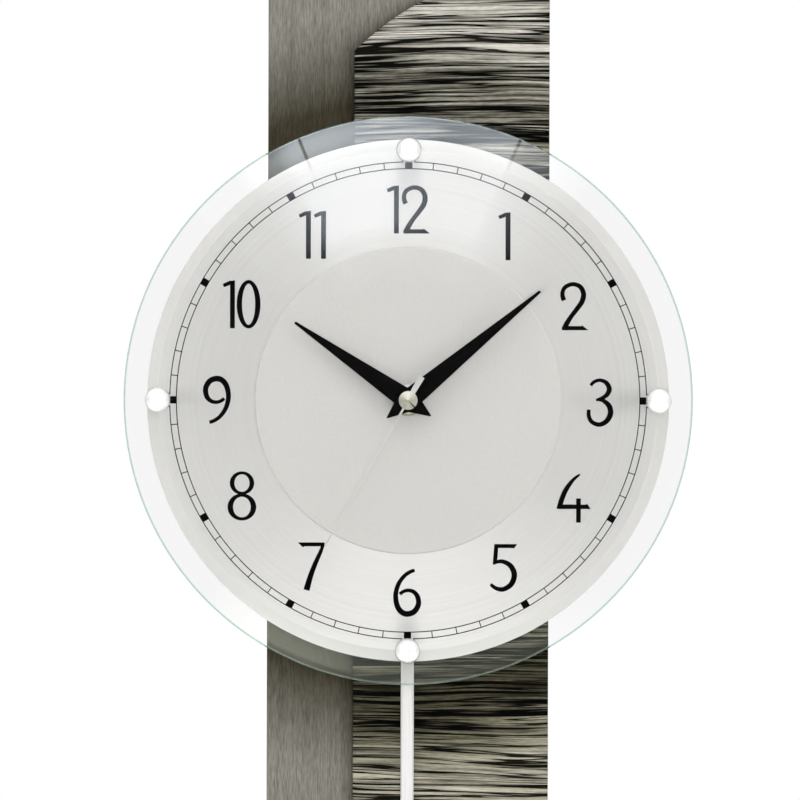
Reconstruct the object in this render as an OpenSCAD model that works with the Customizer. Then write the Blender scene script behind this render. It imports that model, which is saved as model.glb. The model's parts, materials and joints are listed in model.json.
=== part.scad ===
// Pendulum wall clock: a narrow back board with a metal facing and a raised decor panel,
// a round metal dial held off the board, a larger glass disc on four studs in front of it,
// three hands on a radio-controlled movement, and a pendulum that hangs behind the dial.
//
// Each module draws as one looks at the clock: X to the right, Y up, Z out from the wall.
// on_wall() then stands the drawing up, so the finished model has the wall at Y = 0 and Z up.
// The origin is the centre of the hanger's round hole, on the wall.

/* [Back board] */
// Width of the board
board_w = 152; // [136:1:180]
// Height of the board
board_h = 670; // [620:1:720]
// Thickness of the whole board, battens included
board_t = 16; // [14:0.5:22]
// Thickness of the battens behind the front board
batten_t = 9.5; // [9.5:0.5:14]
// Height of the hanger's hole below the board's top edge
hanger_drop = 30; // [24:1:60]
// Height of the hands' axis below the hanger's hole
dial_drop = 225; // [190:1:260]
// Thickness of the metal facing
facing_t = 1; // [0.5:0.1:2]
// Thickness of the decor panel
decor_t = 8; // [4:0.5:12]
// Decor panel's left edge, left of the middle line
decor_left = 29.3; // [20:0.1:34]
// Radius of the decor panel's curved ends
decor_arc_r = 148; // [120:1:200]
// Bare facing above the decor panel's highest point, and below its lowest
decor_margin = 22.3; // [8:0.1:40]
// Chamfer along the decor panel's free edges
decor_chamfer = 0.8; // [0.3:0.1:2]
// Width of the window behind the movement
window_w = 70; // [62:1:90]
// Height of the window above the hands' axis
window_up = 42; // [36:1:46]
// Height of the window below the hands' axis
window_down = 46; // [40:1:60]

/* [Hanger] */
// Radius of the hole that the wall screw's head goes through
keyhole_r = 4.5; // [4:0.1:5.5]
// Width of the slot that the screw's shank slides up in
slot_w = 4.4; // [3:0.1:4.8]
// Length of the slot above the hole's centre
slot_up = 9; // [7:0.5:12]
// Thickness of the hanger plate
hanger_t = 1.5; // [1:0.1:2.5]
// Width of the hanger plate
hanger_w = 42; // [36:1:56]
// Height of the hanger plate
hanger_h = 26; // [24:1:34]
// Width of the pocket for the wall screw's head
pocket_w = 24; // [18:1:25]
// Height of the block that the hanger is let into
block_h = 60; // [50:1:80]

/* [Dial] */
// Distance of the dial's edge inside the glass disc's edge
glass_overhang = 11.2; // [8:0.1:16]
// Thickness of the dial
dial_t = 2.5; // [2:0.1:4]
// Front face of the dial, out from the wall
dial_out = 72; // [68:0.5:84]
// Width of the sloping rim
rim_w = 5.9; // [3:0.1:8]
// Thickness left at the dial's edge
rim_edge_t = 1; // [0.6:0.1:1.6]
// Radius of the raised centre disc
centre_r = 81.6; // [78:0.1:100]
// Thickness of the centre disc
centre_t = 0.8; // [0.5:0.1:1.5]
// Half width of the carrier that holds the dial off the board
carrier_w = 60; // [52:1:66]
// Thickness of the carrier's walls
carrier_wall = 10; // [8:0.5:14]
// Height of the carrier above the hands' axis
carrier_up = 60; // [56:1:66]
// Depth of the carrier below the hands' axis
carrier_down = 45; // [40:1:52]

/* [Glass] */
// Radius of the glass disc
glass_r = 150; // [144:0.5:160]
// Thickness of the glass
glass_t = 4; // [3:0.5:6]
// Gap between the dial and the glass
glass_gap = 24; // [21:0.5:34]
// Ground chamfer on the glass edge
glass_chamfer = 0.5; // [0.2:0.1:1]
// Distance of the four studs inside the dial's edge
stud_inset = 6.8; // [6.8:0.1:14]
// Radius of the standoff sleeves
sleeve_r = 6.2; // [5:0.1:6.5]
// Radius of the domed caps
cap_r = 6.6; // [5.5:0.1:8]
// Height of the domed caps
cap_h = 7; // [5:0.1:10]
// Straight wall below a cap's dome
cap_wall = 1.8; // [1:0.1:2.5]
// Radius of the standoff screws
stud_screw_r = 2; // [1.5:0.1:2.4]
// Radius of the holes in the glass
glass_hole_r = 3.4; // [3.2:0.1:4]
// Thickness of the soft washers on the glass
soft_t = 0.5; // [0.3:0.1:1]

/* [Hands] */
// Length of the minute hand from the axis
minute_len = 90.8; // [70:0.1:96]
// Length of the hour hand from the axis
hour_len = 73; // [50:0.1:78]
// Length of the second hand from the axis
second_len = 89; // [60:0.5:96]
// Half width of the hour and minute hands at their widest
hand_w = 5.8; // [4.5:0.1:8]
// Length of the hands' pointed tails behind the axis
tail_len = 14.6; // [10:0.1:20]
// Distance of the widest place behind the axis
shoulder = 1.8; // [0:0.1:4]
// Thickness of the hands' sheet
hand_t = 0.5; // [0.3:0.05:0.8]
// Height of the crease along the middle of a hand
crease = 0.7; // [0.2:0.05:1]
// Direction of the hour hand, clockwise from twelve
hour_angle = 304.4; // [0:0.1:360]
// Direction of the minute hand, clockwise from twelve
minute_angle = 50.3; // [0:0.1:360]
// Direction of the second hand, clockwise from twelve
second_angle = 209.6; // [0:0.1:360]
// Radius of the cone-shaped cap on the second hand
cone_r = 4.95; // [4:0.05:6]
// Height of the cone
cone_h = 2.5; // [1.5:0.1:3.5]

/* [Movement] */
// Half width of the movement's case
case_w = 29; // [29:0.5:33]
// Height of the case above the hands' axis
case_up = 40; // [40:0.5:44]
// Depth of the case below the hands' axis
case_down = 58; // [58:0.5:62]
// Thickness of the case from front to back
case_t = 18; // [18:0.1:20]
// Wall of the case
wall = 1.6; // [1.2:0.1:2]
// Corner radius of the case
case_corner = 3; // [2:0.5:5]
// Radius of the threaded bush
bush_r = 4; // [3.6:0.1:4.5]
// Length of the bush in front of the case
bush_len = 9.5; // [9:0.1:12]
// Thickness of the rubber gasket between the case and the dial
gasket_t = 1; // [0.5:0.1:2]
// Radius of the round washer under the nut
washer_r = 8.4; // [7.4:0.1:10]
// Thickness of the round washer
washer_t = 0.8; // [0.5:0.1:1.2]
// Nut size across flats
nut_af = 11; // [10:0.5:13]
// Thickness of the nut
nut_t = 2.8; // [2:0.1:3.5]
// Diameter of the battery
cell_d = 14.5; // [13.5:0.1:14.5]
// Length of the battery
cell_len = 50.5; // [48:0.1:50.5]

/* [Gears] */
// Module of the going train's teeth
train_m = 0.3; // [0.28:0.005:0.32]
// Module of the motion work's teeth
motion_m = 0.4; // [0.36:0.01:0.4]
// Teeth of the minute wheel
minute_teeth = 64; // [56:8:64]
// Teeth of the intermediate wheel
time_teeth = 60; // [56:2:60]
// Teeth of the seconds wheel
seconds_teeth = 60; // [48:12:60]
// Teeth of the seconds idler's wheel
idler_teeth = 48; // [40:8:48]
// Teeth of the small pinions
pinion_teeth = 8; // [8:1:9]
// Thickness of the wheels
wheel_t = 0.8; // [0.6:0.05:0.9]
// Height of the pinions
pinion_h = 1.4; // [1.2:0.05:1.5]
// Play between teeth, taken off each tooth
tooth_play = 0.12; // [0.08:0.01:0.16]

/* [Pendulum] */
// Pendulum's pivot below the hands' axis
pivot_down = 36; // [34:0.5:40]
// Length of the rod below the pivot, down to the bob's middle
rod_len = 294; // [200:1:320]
// Width of the rod
rod_w = 7; // [5:0.1:8]
// Thickness of the rod
rod_t = 2; // [1.5:0.1:3]
// Chamfer along the rod's front edges
rod_chamfer = 0.8; // [0.3:0.1:1]
// Radius of the bob
bob_r = 37; // [30:0.5:45]
// Thickness of the bob's front disc
bob_t = 3; // [2.5:0.1:5]
// Radius of the weight behind the bob
weight_r = 26; // [20:0.5:28]
// Thickness of the weight
weight_t = 5; // [4:0.1:7]

/* [Fits] */
// Gap round a screw in its hole
screw_gap = 0.05; // [0.02:0.01:0.1]
// Gap round a turning shaft
shaft_gap = 0.05; // [0.03:0.01:0.08]
// Gap round a pressed or pushed-on part
push_gap = 0.02; // [0.01:0.005:0.04]
// Gap round a loosely placed part
loose_gap = 0.2; // [0.1:0.05:0.4]

/* [Hidden] */
$fn = 96;
eps = 0.01;

// Board and decor panel
board_mid = hanger_drop - board_h / 2;
facing_out = board_t + facing_t;
decor_out = facing_out + decor_t;
decor_w = board_w / 2 + decor_left;
decor_top = hanger_drop - decor_margin;
decor_bottom = hanger_drop - board_h + decor_margin;
arc_rise = decor_arc_r - sqrt(decor_arc_r * decor_arc_r - decor_w * decor_w);
hanger_raise = 0.75;
hanger_mid = (slot_up - keyhole_r) / 2 + hanger_raise;
hanger_corner = 3;
pocket_lip = 1.5;
hanger_screw_r = 1.5;
hanger_head_r = 2.9;
hanger_screw_inset = 0.5;
hanger_screw_x = (hanger_w + pocket_w) / 4 - hanger_screw_inset;
hanger_screw_len = 8;

// Dial, carrier and glass
dial_r = glass_r - glass_overhang;
stud_ring = dial_r - stud_inset;
dial_rear = dial_out - dial_t;
round_fn = 240;
flat_r = dial_r - rim_w;
bush_hole_r = bush_r + loose_gap;
centre_out = dial_out + centre_t;
carrier_screw_r = 2;
carrier_head_r = 3.9;
dial_screw_r = 1.75;
dial_head_r = 3.4;
carrier_screw_x = carrier_w - carrier_wall / 2;
dial_screw_margin = carrier_wall / 2;
carrier_screw_margin = 3 * dial_screw_margin;
dial_bite = carrier_wall * 1.2;
carrier_bite = carrier_wall * 1.5;
hole_spare = 2;
function corners_at(margin) =
    [for (x = [-1, 1], y = [margin - carrier_down, carrier_up - margin]) [x * carrier_screw_x, y]];
carrier_screws_at = corners_at(carrier_screw_margin);
dial_screws_at = corners_at(dial_screw_margin);
glass_rear = dial_out + glass_gap;
glass_front = glass_rear + glass_t;
soft_inset = 0.6;
cap_foot = glass_front + soft_t;
sleeve_len = glass_gap - soft_t;
stud_head_r = 3.8;
stud_head_h = 2.4;
stud_len = dial_t + glass_gap + glass_t + soft_t + cap_h / 2;
screw_end = 0.3;
cap_hole = cap_h / 2 + screw_end;

// Case of the movement; depths are counted back from its front face
case_out = dial_rear - gasket_t;
case_rear_out = case_out - case_t;
lid_in = case_t - wall;
case_screw_r = 1;
case_screw_len = case_t / 2;
boss_r = 2.5;
post_foot = 0.8;
post_r = 2;
peg_post_r = 0.9;
plate_screw_r = 0.8;
plate_screw_bite = 4.5;
plate_screw_hole = 4.6;
saddle_x = 14;
saddle_w = 2;
gasket_side = 6;
gasket_top = 8;
bush_front = case_out + bush_len;

// Three shafts, one inside the other
arbor_r = 0.65;
pipe_gap = 0.1;
cannon_wall = 0.8;
hour_pipe_wall = 0.85;
rear_cannon_wall = 0.45;
cannon_bore_r = arbor_r + pipe_gap;
cannon_r = cannon_bore_r + cannon_wall;
hour_bore_r = cannon_r + pipe_gap;
hour_pipe_r = hour_bore_r + hour_pipe_wall;
bush_bore_r = hour_pipe_r + shaft_gap + eps;
rear_cannon_r = cannon_bore_r + rear_cannon_wall;

// Pivots, the holes they end in, and how far they stand through the plate
pivot_r = 0.5;
front_bite = 0.4;
front_hole = 0.6;
rear_bite = 0.7;
rear_hole = 0.9;
plate_reach = 0.3;
cannon_reach = 0.4;

// Depths of the motion work and of both trains
wall_clear = 0.4;
wheel_clear = 0.3;
pinion_clear = 0.2;
plate_clear = 1;
plate_t = 1;
magnet_r = 2.5;
magnet_t = 2.2;
pinion_step = (pinion_h - wheel_t) / 2;
hour_wheel_in = wall + wall_clear;
reverser_in = hour_wheel_in;
reverser_wheel_in = reverser_in + pinion_h;
cannon_in = hour_wheel_in + wheel_t + wheel_clear;
minute_wheel_in = cannon_in + pinion_h + wheel_clear;
time_pinion_in = minute_wheel_in - pinion_step;
time_wheel_in = time_pinion_in + pinion_h + pinion_clear;
rotor_pinion_in = time_wheel_in - pinion_step;
time_magnet_in = rotor_pinion_in - pinion_clear - magnet_t;
plate_in = rotor_pinion_in + pinion_h + wall_clear;
seconds_wheel_in = plate_in + plate_t + plate_clear;
idler_pinion_in = seconds_wheel_in - pinion_step;
idler_wheel_in = idler_pinion_in + pinion_h + pinion_clear;
seconds_pinion_in = idler_wheel_in - pinion_step;
seconds_magnet_in = seconds_pinion_in + pinion_h + wall_clear;

// Axes of the wheels, from the hands' axis
cannon_teeth = 10;
reverser_teeth = 30;
reverser_leaves = 8;
hour_teeth = 32;
idler_leaves = 12;
motion_dist = motion_m * (cannon_teeth + reverser_teeth) / 2;
time_dist = train_m * (minute_teeth + pinion_teeth) / 2;
rotor_dist = train_m * (time_teeth + pinion_teeth) / 2;
idler_dist = train_m * (seconds_teeth + idler_leaves) / 2;
seconds_dist = train_m * (idler_teeth + pinion_teeth) / 2;
train_turn = 40;
rotor_turn = 20;
reverser_at = [0, motion_dist];
time_at = time_dist * [cos(train_turn), sin(train_turn)];
time_rotor_at = time_at + rotor_dist * [cos(rotor_turn), sin(rotor_turn)];
idler_at = idler_dist * [-cos(train_turn), sin(train_turn)];
seconds_rotor_at = idler_at + seconds_dist * [-cos(rotor_turn), sin(rotor_turn)];

// Wheels and their studs
arm_w = 1.2;
reverser_stud_r = 0.6;
reverser_stud_short = 0.25;
time_stud_r = 1.2;
time_rotor_stud_r = 1.4;
pinion_spare = 0.25;
wheel_hub_r = 2;
wide_hub_r = 2.6;

// Stepping motors
stator_t = 1.2;
stator_w = 6.8;
stator_leg = 2;
stator_foot = 4.5;
stator_head = 12.6;
coil_up = 10.6;
coil_r = 2.7;
coil_len = 2 * (stator_w - stator_leg) - 2 * loose_gap;
bobbin_flange = 0.7;
winding_inset = 0.4;
rotor_hole_gap = 0.5;
peg_inset = 1;
stator_pegs = [for (x = [-1, 1]) [x * (stator_w - stator_leg / 2), stator_head - peg_inset]];
stator_posts = [for (p = stator_pegs) time_rotor_at + p];
time_stator_in = time_magnet_in + (magnet_t - stator_t) / 2;
seconds_stator_in = seconds_magnet_in + (magnet_t - stator_t) / 2;

// Gear plate, circuit board and antenna
plate_margin = 1.4;
plate_w = case_w - wall - plate_margin;
plate_down = 11.6;
plate_up = 26.6;
plate_posts = [[-23, -8.4], [23, -8.4], [0, 23.6]];
board_clear = 3.8;
board_in = plate_in + plate_t + board_clear;
circuit_t = 1;
circuit_left = -1;
circuit_down = 12.8;
circuit_posts = [for (x = [1.2, 24], y = [14.6, 25]) [x, y]];
circuit_post_r = 1.1;
circuit_peg_r = 0.6;
circuit_peg_proud = 0.4;
chip_at = [10, 16.4];
chip_w = 6;
chip_t = 1.3;
crystal_at = [18.6, 17.4];
crystal_size = [3.2, 5];
crystal_t = 1;
capacitor_at = [5, 20.4];
capacitor_r = 1.7;
capacitor_h = 2.4;
switch_w = 3.6;
switch_t = 0.6;
switch_pin_r = 0.8;
switch_pin_t = 0.2;
button_at = [for (x = [4.4, 12.2, 20]) [x, 20]];
button_r = 2;
button_flange_r = 2.7;
button_flange_t = 0.6;
button_play = 0.1;
button_gap = 0.3;
button_stem_r = 1;
button_travel = 0.8;
button_proud = 1.2;
antenna_drop = 7;
antenna_up = case_up - antenna_drop;
antenna_in = case_t / 2;
antenna_r = 3.5;
antenna_len = 40;
antenna_coil_len = 16;
antenna_coil_r = 4.5;
boss_margin = wall + 2.2;
case_screws_at =
    [for (x = [-1, 1], y = [boss_margin - case_down, case_up - boss_margin]) [x * (case_w - boss_margin), y]];

// Battery bay
bay_mid = -22;
bay_h = cell_d + 1.1;
bay_wall = 1.4;
lid_gap = 0.4;
cell_in = wall + 0.3 + cell_d / 2;
contact_t = 0.4;
contact_w = 10;
contact_inset = 0.6;
contact_slope = 0.8;
contact_reach = cell_len / 2 + loose_gap;
nub_r = 2.75;
nub_len = 1.3;

// Pendulum
pivot_y = -pivot_down;
leader_t = 2;
leader_clear = 0.6;
leader_out = case_rear_out - leader_clear;
leader_hub_r = 4;
leader_w = 7;
leader_foot = 4;
peg_r = 1.45;
peg_down = 28;
peg_proud = 0.6;
rod_out = leader_out - leader_t;
rod_head = 5;
rod_foot = 12;
rod_top = pivot_y - peg_down + rod_head;
bob_y = pivot_y - rod_len;
magnet_down = 14;
leader_magnet_r = 2.6;
pin_r = 1;
pin_bite = 4.6;
pin_post_r = 2.6;
pin_post_len = 5;
pin_play = 0.3;
pin_head_r = 2.2;
pin_head_t = 0.8;
pendulum_coil_r = 5;
pendulum_coil_len = 5;
core_r = 1.4;
core_len = 5.4;
bob_screw_x = 14;
bob_screw_r = 1.5;
bob_head_h = 1.6;
bob_bite_share = 0.5;
bob_hole_share = 0.6;
weight_play = 0.1;

// Hands, each clear in front of the one before
hour_collet_wall = 1.7;
minute_collet_wall = 1.65;
second_tube_wall = 0.7;
hour_clear = 0.5;
minute_clear = 1.2;
second_clear = 1.8;
hour_hand_h = 2.8;
minute_hand_h = 2.7;
second_tube_h = 0.8;
hour_back = bush_front + hour_clear;
hour_front = hour_back + hour_hand_h;
minute_back = hour_front + minute_clear;
minute_front = minute_back + minute_hand_h;
second_back = minute_front + second_clear;
hand_tip = 0.25;
needle_t = 0.4;
needle_tip = 0.35;
needle_waist = 0.6;
needle_shoulder = 1.2;
needle_tail_w = 1.7;
needle_tail = 14.5;
cone_foot = 0.9;
cone_tip = 0.2;

// Frames of reference
module on_wall() { rotate([90, 0, 0]) children(); }
module at_dial() { on_wall() translate([0, -dial_drop, 0]) children(); }
module out(z) { translate([0, 0, z]) children(); }
module spot(p) { translate([p[0], p[1], 0]) children(); }
module spots(list) { for (p = list) spot(p) children(); }
module four_studs() { for (a = [0 : 90 : 270]) rotate(a) translate([stud_ring, 0, 0]) children(); }

// Inside the movement, a layer fills the depths from in to in + t behind the case's front face
module layer(in, t) { out(case_out - in - t) linear_extrude(t) children(); }
module shaft(in, to, r) { out(case_out - to) cylinder(h = to - in, r = r); }

module rounded(w, h, r) {
    square([w - 2 * r, h], center = true);
    square([w, h - 2 * r], center = true);
    for (x = [-1, 1], y = [-1, 1]) translate([x * (w / 2 - r), y * (h / 2 - r)]) circle(r);
}

module ring(h, r, bore) {
    difference() {
        cylinder(h = h, r = r);
        translate([0, 0, -eps]) cylinder(h = h + 2 * eps, r = bore);
    }
}

// A countersunk screw whose head lies flush at z = 0 and whose shank points to -Z
module flush_screw(r, head_r, len) {
    translate([0, 0, -len]) cylinder(h = len - head_r + r, r = r);
    translate([0, 0, r - head_r]) cylinder(h = head_r - r, r1 = r, r2 = head_r);
}

slot_share = 0.6;

// A pan-headed screw whose head stands on z = 0 and whose shank points to -Z
module pan_screw(r, head_r, head_h, len) {
    translate([0, 0, -len]) cylinder(h = len + eps, r = r);
    difference() {
        cylinder(h = head_h, r = head_r);
        translate([-head_r, -r / 4, head_h * slot_share]) cube([2 * head_r, r / 2, head_h]);
    }
}

// Involute teeth, thinned by the play
pressure = 20;
function involute(a) = tan(a) * 180 / PI - a;
function half_tooth(n, m, r) =
    let (base = m * n / 2 * cos(pressure), a = r > base ? acos(base / r) : 0)
    (90 / n) - (tooth_play / (m * n)) * 180 / PI + involute(pressure) - involute(a);
function tooth_radii(n, m) = [m * n / 2 - 1.15 * m, m * n / 2, m * n / 2 + 0.85 * m];
function polar(r, a) = [r * cos(a), r * sin(a)];
module gear(n, m, toward, gap = false) {
    radii = tooth_radii(n, m);
    turn = toward + (gap ? 180 / n : 0);
    polygon([
        for (i = [0 : n - 1]) each concat(
            [for (j = [0 : 2]) polar(radii[j], turn + 360 / n * i - half_tooth(n, m, radii[j]))],
            [for (j = [2 : -1 : 0]) polar(radii[j], turn + 360 / n * i + half_tooth(n, m, radii[j]))]
        )
    ]);
}

// A wheel with three arms between its hub and its rim
module crossed_wheel(n, m, toward, hub_r) {
    rim_r = m * n / 2 - 3.2 * m;
    difference() {
        gear(n, m, toward);
        difference() {
            circle(rim_r);
            circle(hub_r);
            for (a = [30 : 120 : 270]) rotate(a) translate([0, -arm_w / 2]) square([rim_r + eps, arm_w]);
        }
    }
}

// Back board: a front board, four battens behind it, and a block for the hanger between them
module window_cut(from, to) {
    translate([-window_w / 2, -dial_drop - window_down, from - eps])
        cube([window_w, window_up + window_down, to - from + 2 * eps]);
}

module carrier_screw_holes(from, to) {
    spot([0, -dial_drop]) spots(carrier_screws_at) out(from - eps)
        cylinder(h = to - from + 2 * eps, r = carrier_screw_r + screw_gap);
}

module backboard() color("#3b3a36") on_wall() difference() {
    translate([-board_w / 2, board_mid - board_h / 2, batten_t]) cube([board_w, board_h, board_t - batten_t]);
    window_cut(batten_t, board_t);
    carrier_screw_holes(batten_t, board_t);
}

module side_battens() color("#3b3a36") on_wall() difference() {
    for (x = [-board_w / 2, window_w / 2]) translate([x, hanger_drop - board_h, 0])
        cube([(board_w - window_w) / 2, board_h, batten_t]);
    carrier_screw_holes(0, batten_t);
    spot([0, -dial_drop]) spots(carrier_screws_at) out(-eps)
        cylinder(h = carrier_head_r - carrier_screw_r + screw_gap, r1 = carrier_head_r + screw_gap,
                 r2 = carrier_screw_r + screw_gap);
}

// One above the window and one below it
module cross_battens() color("#3b3a36") on_wall() {
    block_foot = hanger_drop - block_h;
    window_top = window_up - dial_drop;
    board_foot = hanger_drop - board_h;
    foot_h = -dial_drop - window_down - board_foot;
    translate([-window_w / 2, window_top, 0]) cube([window_w, block_foot - window_top, batten_t]);
    translate([-window_w / 2, board_foot, 0]) cube([window_w, foot_h, batten_t]);
}

// The block's pocket runs right through it, and the hanger plate lies in a recess over the pocket
module hanger_block() color("#3b3a36") on_wall() difference() {
    translate([-window_w / 2, hanger_drop - block_h, 0]) cube([window_w, block_h, batten_t]);
    translate([0, hanger_mid, -eps]) linear_extrude(hanger_t + eps)
        rounded(hanger_w + 2 * loose_gap, hanger_h + 2 * loose_gap, hanger_corner);
    translate([-pocket_w / 2, hanger_mid - hanger_h / 2 + pocket_lip, 0])
        cube([pocket_w, hanger_h - 2 * pocket_lip, batten_t + eps]);
    for (x = [-1, 1]) translate([x * hanger_screw_x, hanger_mid, 0])
        cylinder(h = hanger_screw_len + hole_spare / 2, r = hanger_screw_r + screw_gap);
}

module metal_facing() color("#7f7d78") on_wall() difference() {
    translate([-board_w / 2, board_mid - board_h / 2, board_t]) cube([board_w, board_h, facing_t]);
    window_cut(board_t, facing_out);
    carrier_screw_holes(board_t, facing_out);
}

// Outline between a top and a bottom arc, both centred on the board's right edge
module decor_outline() {
    top_mid = decor_top - decor_arc_r;
    bottom_mid = decor_bottom + decor_arc_r;
    intersection() {
        translate([-decor_left, decor_bottom]) square([decor_w, decor_top - decor_bottom]);
        union() {
            translate([-decor_left, bottom_mid]) square([decor_w, top_mid - bottom_mid]);
            translate([board_w / 2, top_mid]) circle(decor_arc_r, $fn = round_fn);
            translate([board_w / 2, bottom_mid]) circle(decor_arc_r, $fn = round_fn);
        }
    }
}

// A ring that cuts the chamfer along one of the panel's arcs
module arc_chamfer(y) {
    translate([board_w / 2, y, decor_out]) rotate_extrude($fn = round_fn) polygon([
        [decor_arc_r - decor_chamfer, eps],
        [decor_arc_r + 1, eps],
        [decor_arc_r + 1, -decor_chamfer - 1],
        [decor_arc_r, -decor_chamfer]
    ]);
}

module decor_panel() color("#5c564c") on_wall() difference() {
    out(facing_out) linear_extrude(decor_t) decor_outline();
    translate([-decor_left, board_mid, decor_out]) rotate([0, 45, 0])
        cube([decor_chamfer * sqrt(2), board_h, decor_chamfer * sqrt(2)], center = true);
    intersection() {
        arc_chamfer(decor_top - decor_arc_r);
        translate([-board_w, decor_top - arc_rise - decor_chamfer, 0])
            cube([2 * board_w, decor_arc_r, 2 * decor_out]);
    }
    intersection() {
        arc_chamfer(decor_bottom + decor_arc_r);
        translate([-board_w, decor_bottom + arc_rise + decor_chamfer - decor_arc_r, 0])
            cube([2 * board_w, decor_arc_r, 2 * decor_out]);
    }
    window_cut(facing_out, decor_out);
    carrier_screw_holes(facing_out, decor_out);
}

module hanger_plate() color("#b9b9b6") on_wall() difference() {
    translate([0, hanger_mid, 0]) linear_extrude(hanger_t) rounded(hanger_w, hanger_h, hanger_corner);
    out(-eps) cylinder(h = hanger_t + 2 * eps, r = keyhole_r);
    translate([-slot_w / 2, 0, -eps]) cube([slot_w, slot_up, hanger_t + 2 * eps]);
    translate([0, slot_up, -eps]) cylinder(h = hanger_t + 2 * eps, r = slot_w / 2);
    for (x = [-1, 1]) translate([x * hanger_screw_x, hanger_mid, -eps]) {
        cylinder(h = hanger_t + 2 * eps, r = hanger_screw_r + screw_gap);
        cylinder(h = hanger_head_r - hanger_screw_r + screw_gap, r1 = hanger_head_r + screw_gap,
                 r2 = hanger_screw_r + screw_gap);
    }
}

module hanger_screws() color("#a8a8a4") on_wall()
    for (x = [-1, 1]) translate([x * hanger_screw_x, hanger_mid, 0]) mirror([0, 0, 1])
        flush_screw(hanger_screw_r, hanger_head_r, hanger_screw_len);

// Carrier: three walls, open below for the pendulum, its foot stepped over the decor panel
module dial_carrier() color("#2b2a28") at_dial() difference() {
    translate([-carrier_w, -carrier_down, facing_out])
        cube([2 * carrier_w, carrier_up + carrier_down, dial_rear - facing_out]);
    translate([carrier_wall - carrier_w, -carrier_down - eps, facing_out - eps])
        cube([2 * (carrier_w - carrier_wall), carrier_down + carrier_up - carrier_wall + eps,
              dial_rear - facing_out + 2 * eps]);
    translate([-decor_left - loose_gap, -carrier_down - eps, facing_out - eps])
        cube([2 * carrier_w, carrier_up + carrier_down + 2 * eps, decor_t + eps]);
    spots(carrier_screws_at) out(facing_out - eps)
        cylinder(h = decor_t + carrier_bite + hole_spare, r = carrier_screw_r + screw_gap);
    spots(dial_screws_at) out(dial_rear - dial_bite - hole_spare)
        cylinder(h = dial_bite + hole_spare + eps, r = dial_screw_r + screw_gap);
}

module carrier_screws() color("#a8a8a4") at_dial()
    spots(carrier_screws_at) mirror([0, 0, 1])
        flush_screw(carrier_screw_r, carrier_head_r, decor_out + carrier_bite);

// Dial
module dial_plate() color("#d9d9d5") at_dial() out(dial_rear) difference() {
    rotate_extrude($fn = round_fn) polygon([
        [bush_hole_r, 0],
        [dial_r, 0],
        [dial_r, rim_edge_t],
        [flat_r, dial_t],
        [bush_hole_r, dial_t]
    ]);
    four_studs() out(-eps) cylinder(h = dial_t + 2 * eps, r = stud_screw_r + screw_gap);
    spots(dial_screws_at) out(-eps) cylinder(h = dial_t + 2 * eps, r = dial_screw_r + screw_gap);
    spots(dial_screws_at) out(dial_t - dial_head_r + dial_screw_r)
        cylinder(h = dial_head_r - dial_screw_r + eps, r1 = dial_screw_r + screw_gap,
                 r2 = dial_head_r + screw_gap + eps);
}

module dial_screws() color("#a8a8a4") at_dial()
    out(dial_out) spots(dial_screws_at) flush_screw(dial_screw_r, dial_head_r, dial_t + dial_bite);

module centre_disc() color("#d4d3cf") at_dial() out(dial_out) rotate_extrude($fn = round_fn) polygon([
    [bush_hole_r, 0],
    [centre_r, 0],
    [centre_r, centre_t * 0.25],
    [centre_r - centre_t * 0.75, centre_t],
    [bush_hole_r, centre_t]
]);

// Studs that hold the glass
module standoff_sleeves() color("#cfcfcc") at_dial() out(dial_out) four_studs()
    ring(sleeve_len, sleeve_r, stud_screw_r + 2 * screw_gap);

module standoff_screws() color("#a8a8a4") at_dial() out(dial_rear) four_studs() mirror([0, 0, 1])
    pan_screw(stud_screw_r, stud_head_r, stud_head_h, stud_len);

// A flanged bush in each hole of the glass, and a washer under each cap
module glass_bushes() color("#e6e6e2") at_dial() four_studs() {
    out(glass_rear - soft_t) difference() {
        union() {
            cylinder(h = soft_t, r = sleeve_r - soft_inset);
            cylinder(h = soft_t + glass_t - push_gap, r = glass_hole_r - screw_gap);
        }
        out(-eps) cylinder(h = soft_t + glass_t + eps, r = stud_screw_r + screw_gap);
    }
    out(glass_front) ring(soft_t, cap_r - soft_inset, stud_screw_r + screw_gap);
}

module glass_disc() color("#b8d0c8", 0.3) at_dial() out(glass_rear) difference() {
    rotate_extrude($fn = round_fn) polygon([
        [0, 0],
        [glass_r - glass_chamfer, 0],
        [glass_r, glass_chamfer],
        [glass_r, glass_t - glass_chamfer],
        [glass_r - glass_chamfer, glass_t],
        [0, glass_t]
    ]);
    four_studs() out(-eps) cylinder(h = glass_t + 2 * eps, r = glass_hole_r);
}

module stud_caps() color("#e2e2e0") at_dial() out(cap_foot) {
    dome_h = cap_h - cap_wall;
    dome_r = (cap_r * cap_r + dome_h * dome_h) / (2 * dome_h);
    four_studs() difference() {
        union() {
            cylinder(h = cap_wall, r = cap_r);
            intersection() {
                out(cap_h - dome_r) sphere(r = dome_r);
                cylinder(h = cap_h + eps, r = cap_r);
            }
        }
        out(-eps) cylinder(h = cap_hole, r = stud_screw_r + screw_gap);
    }
}

// Movement
module movement_gasket() color("#242424") at_dial() out(case_out) difference() {
    linear_extrude(gasket_t) rounded(2 * (case_w - gasket_side), 2 * (case_w - gasket_top), case_corner);
    out(-eps) cylinder(h = gasket_t + 2 * eps, r = bush_r + loose_gap);
}

module case_outline(inset) {
    corner = case_corner - min(inset, case_corner - 1);
    translate([0, (case_up - case_down) / 2])
        rounded(2 * (case_w - inset), case_up + case_down - 2 * inset, corner);
}

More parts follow.
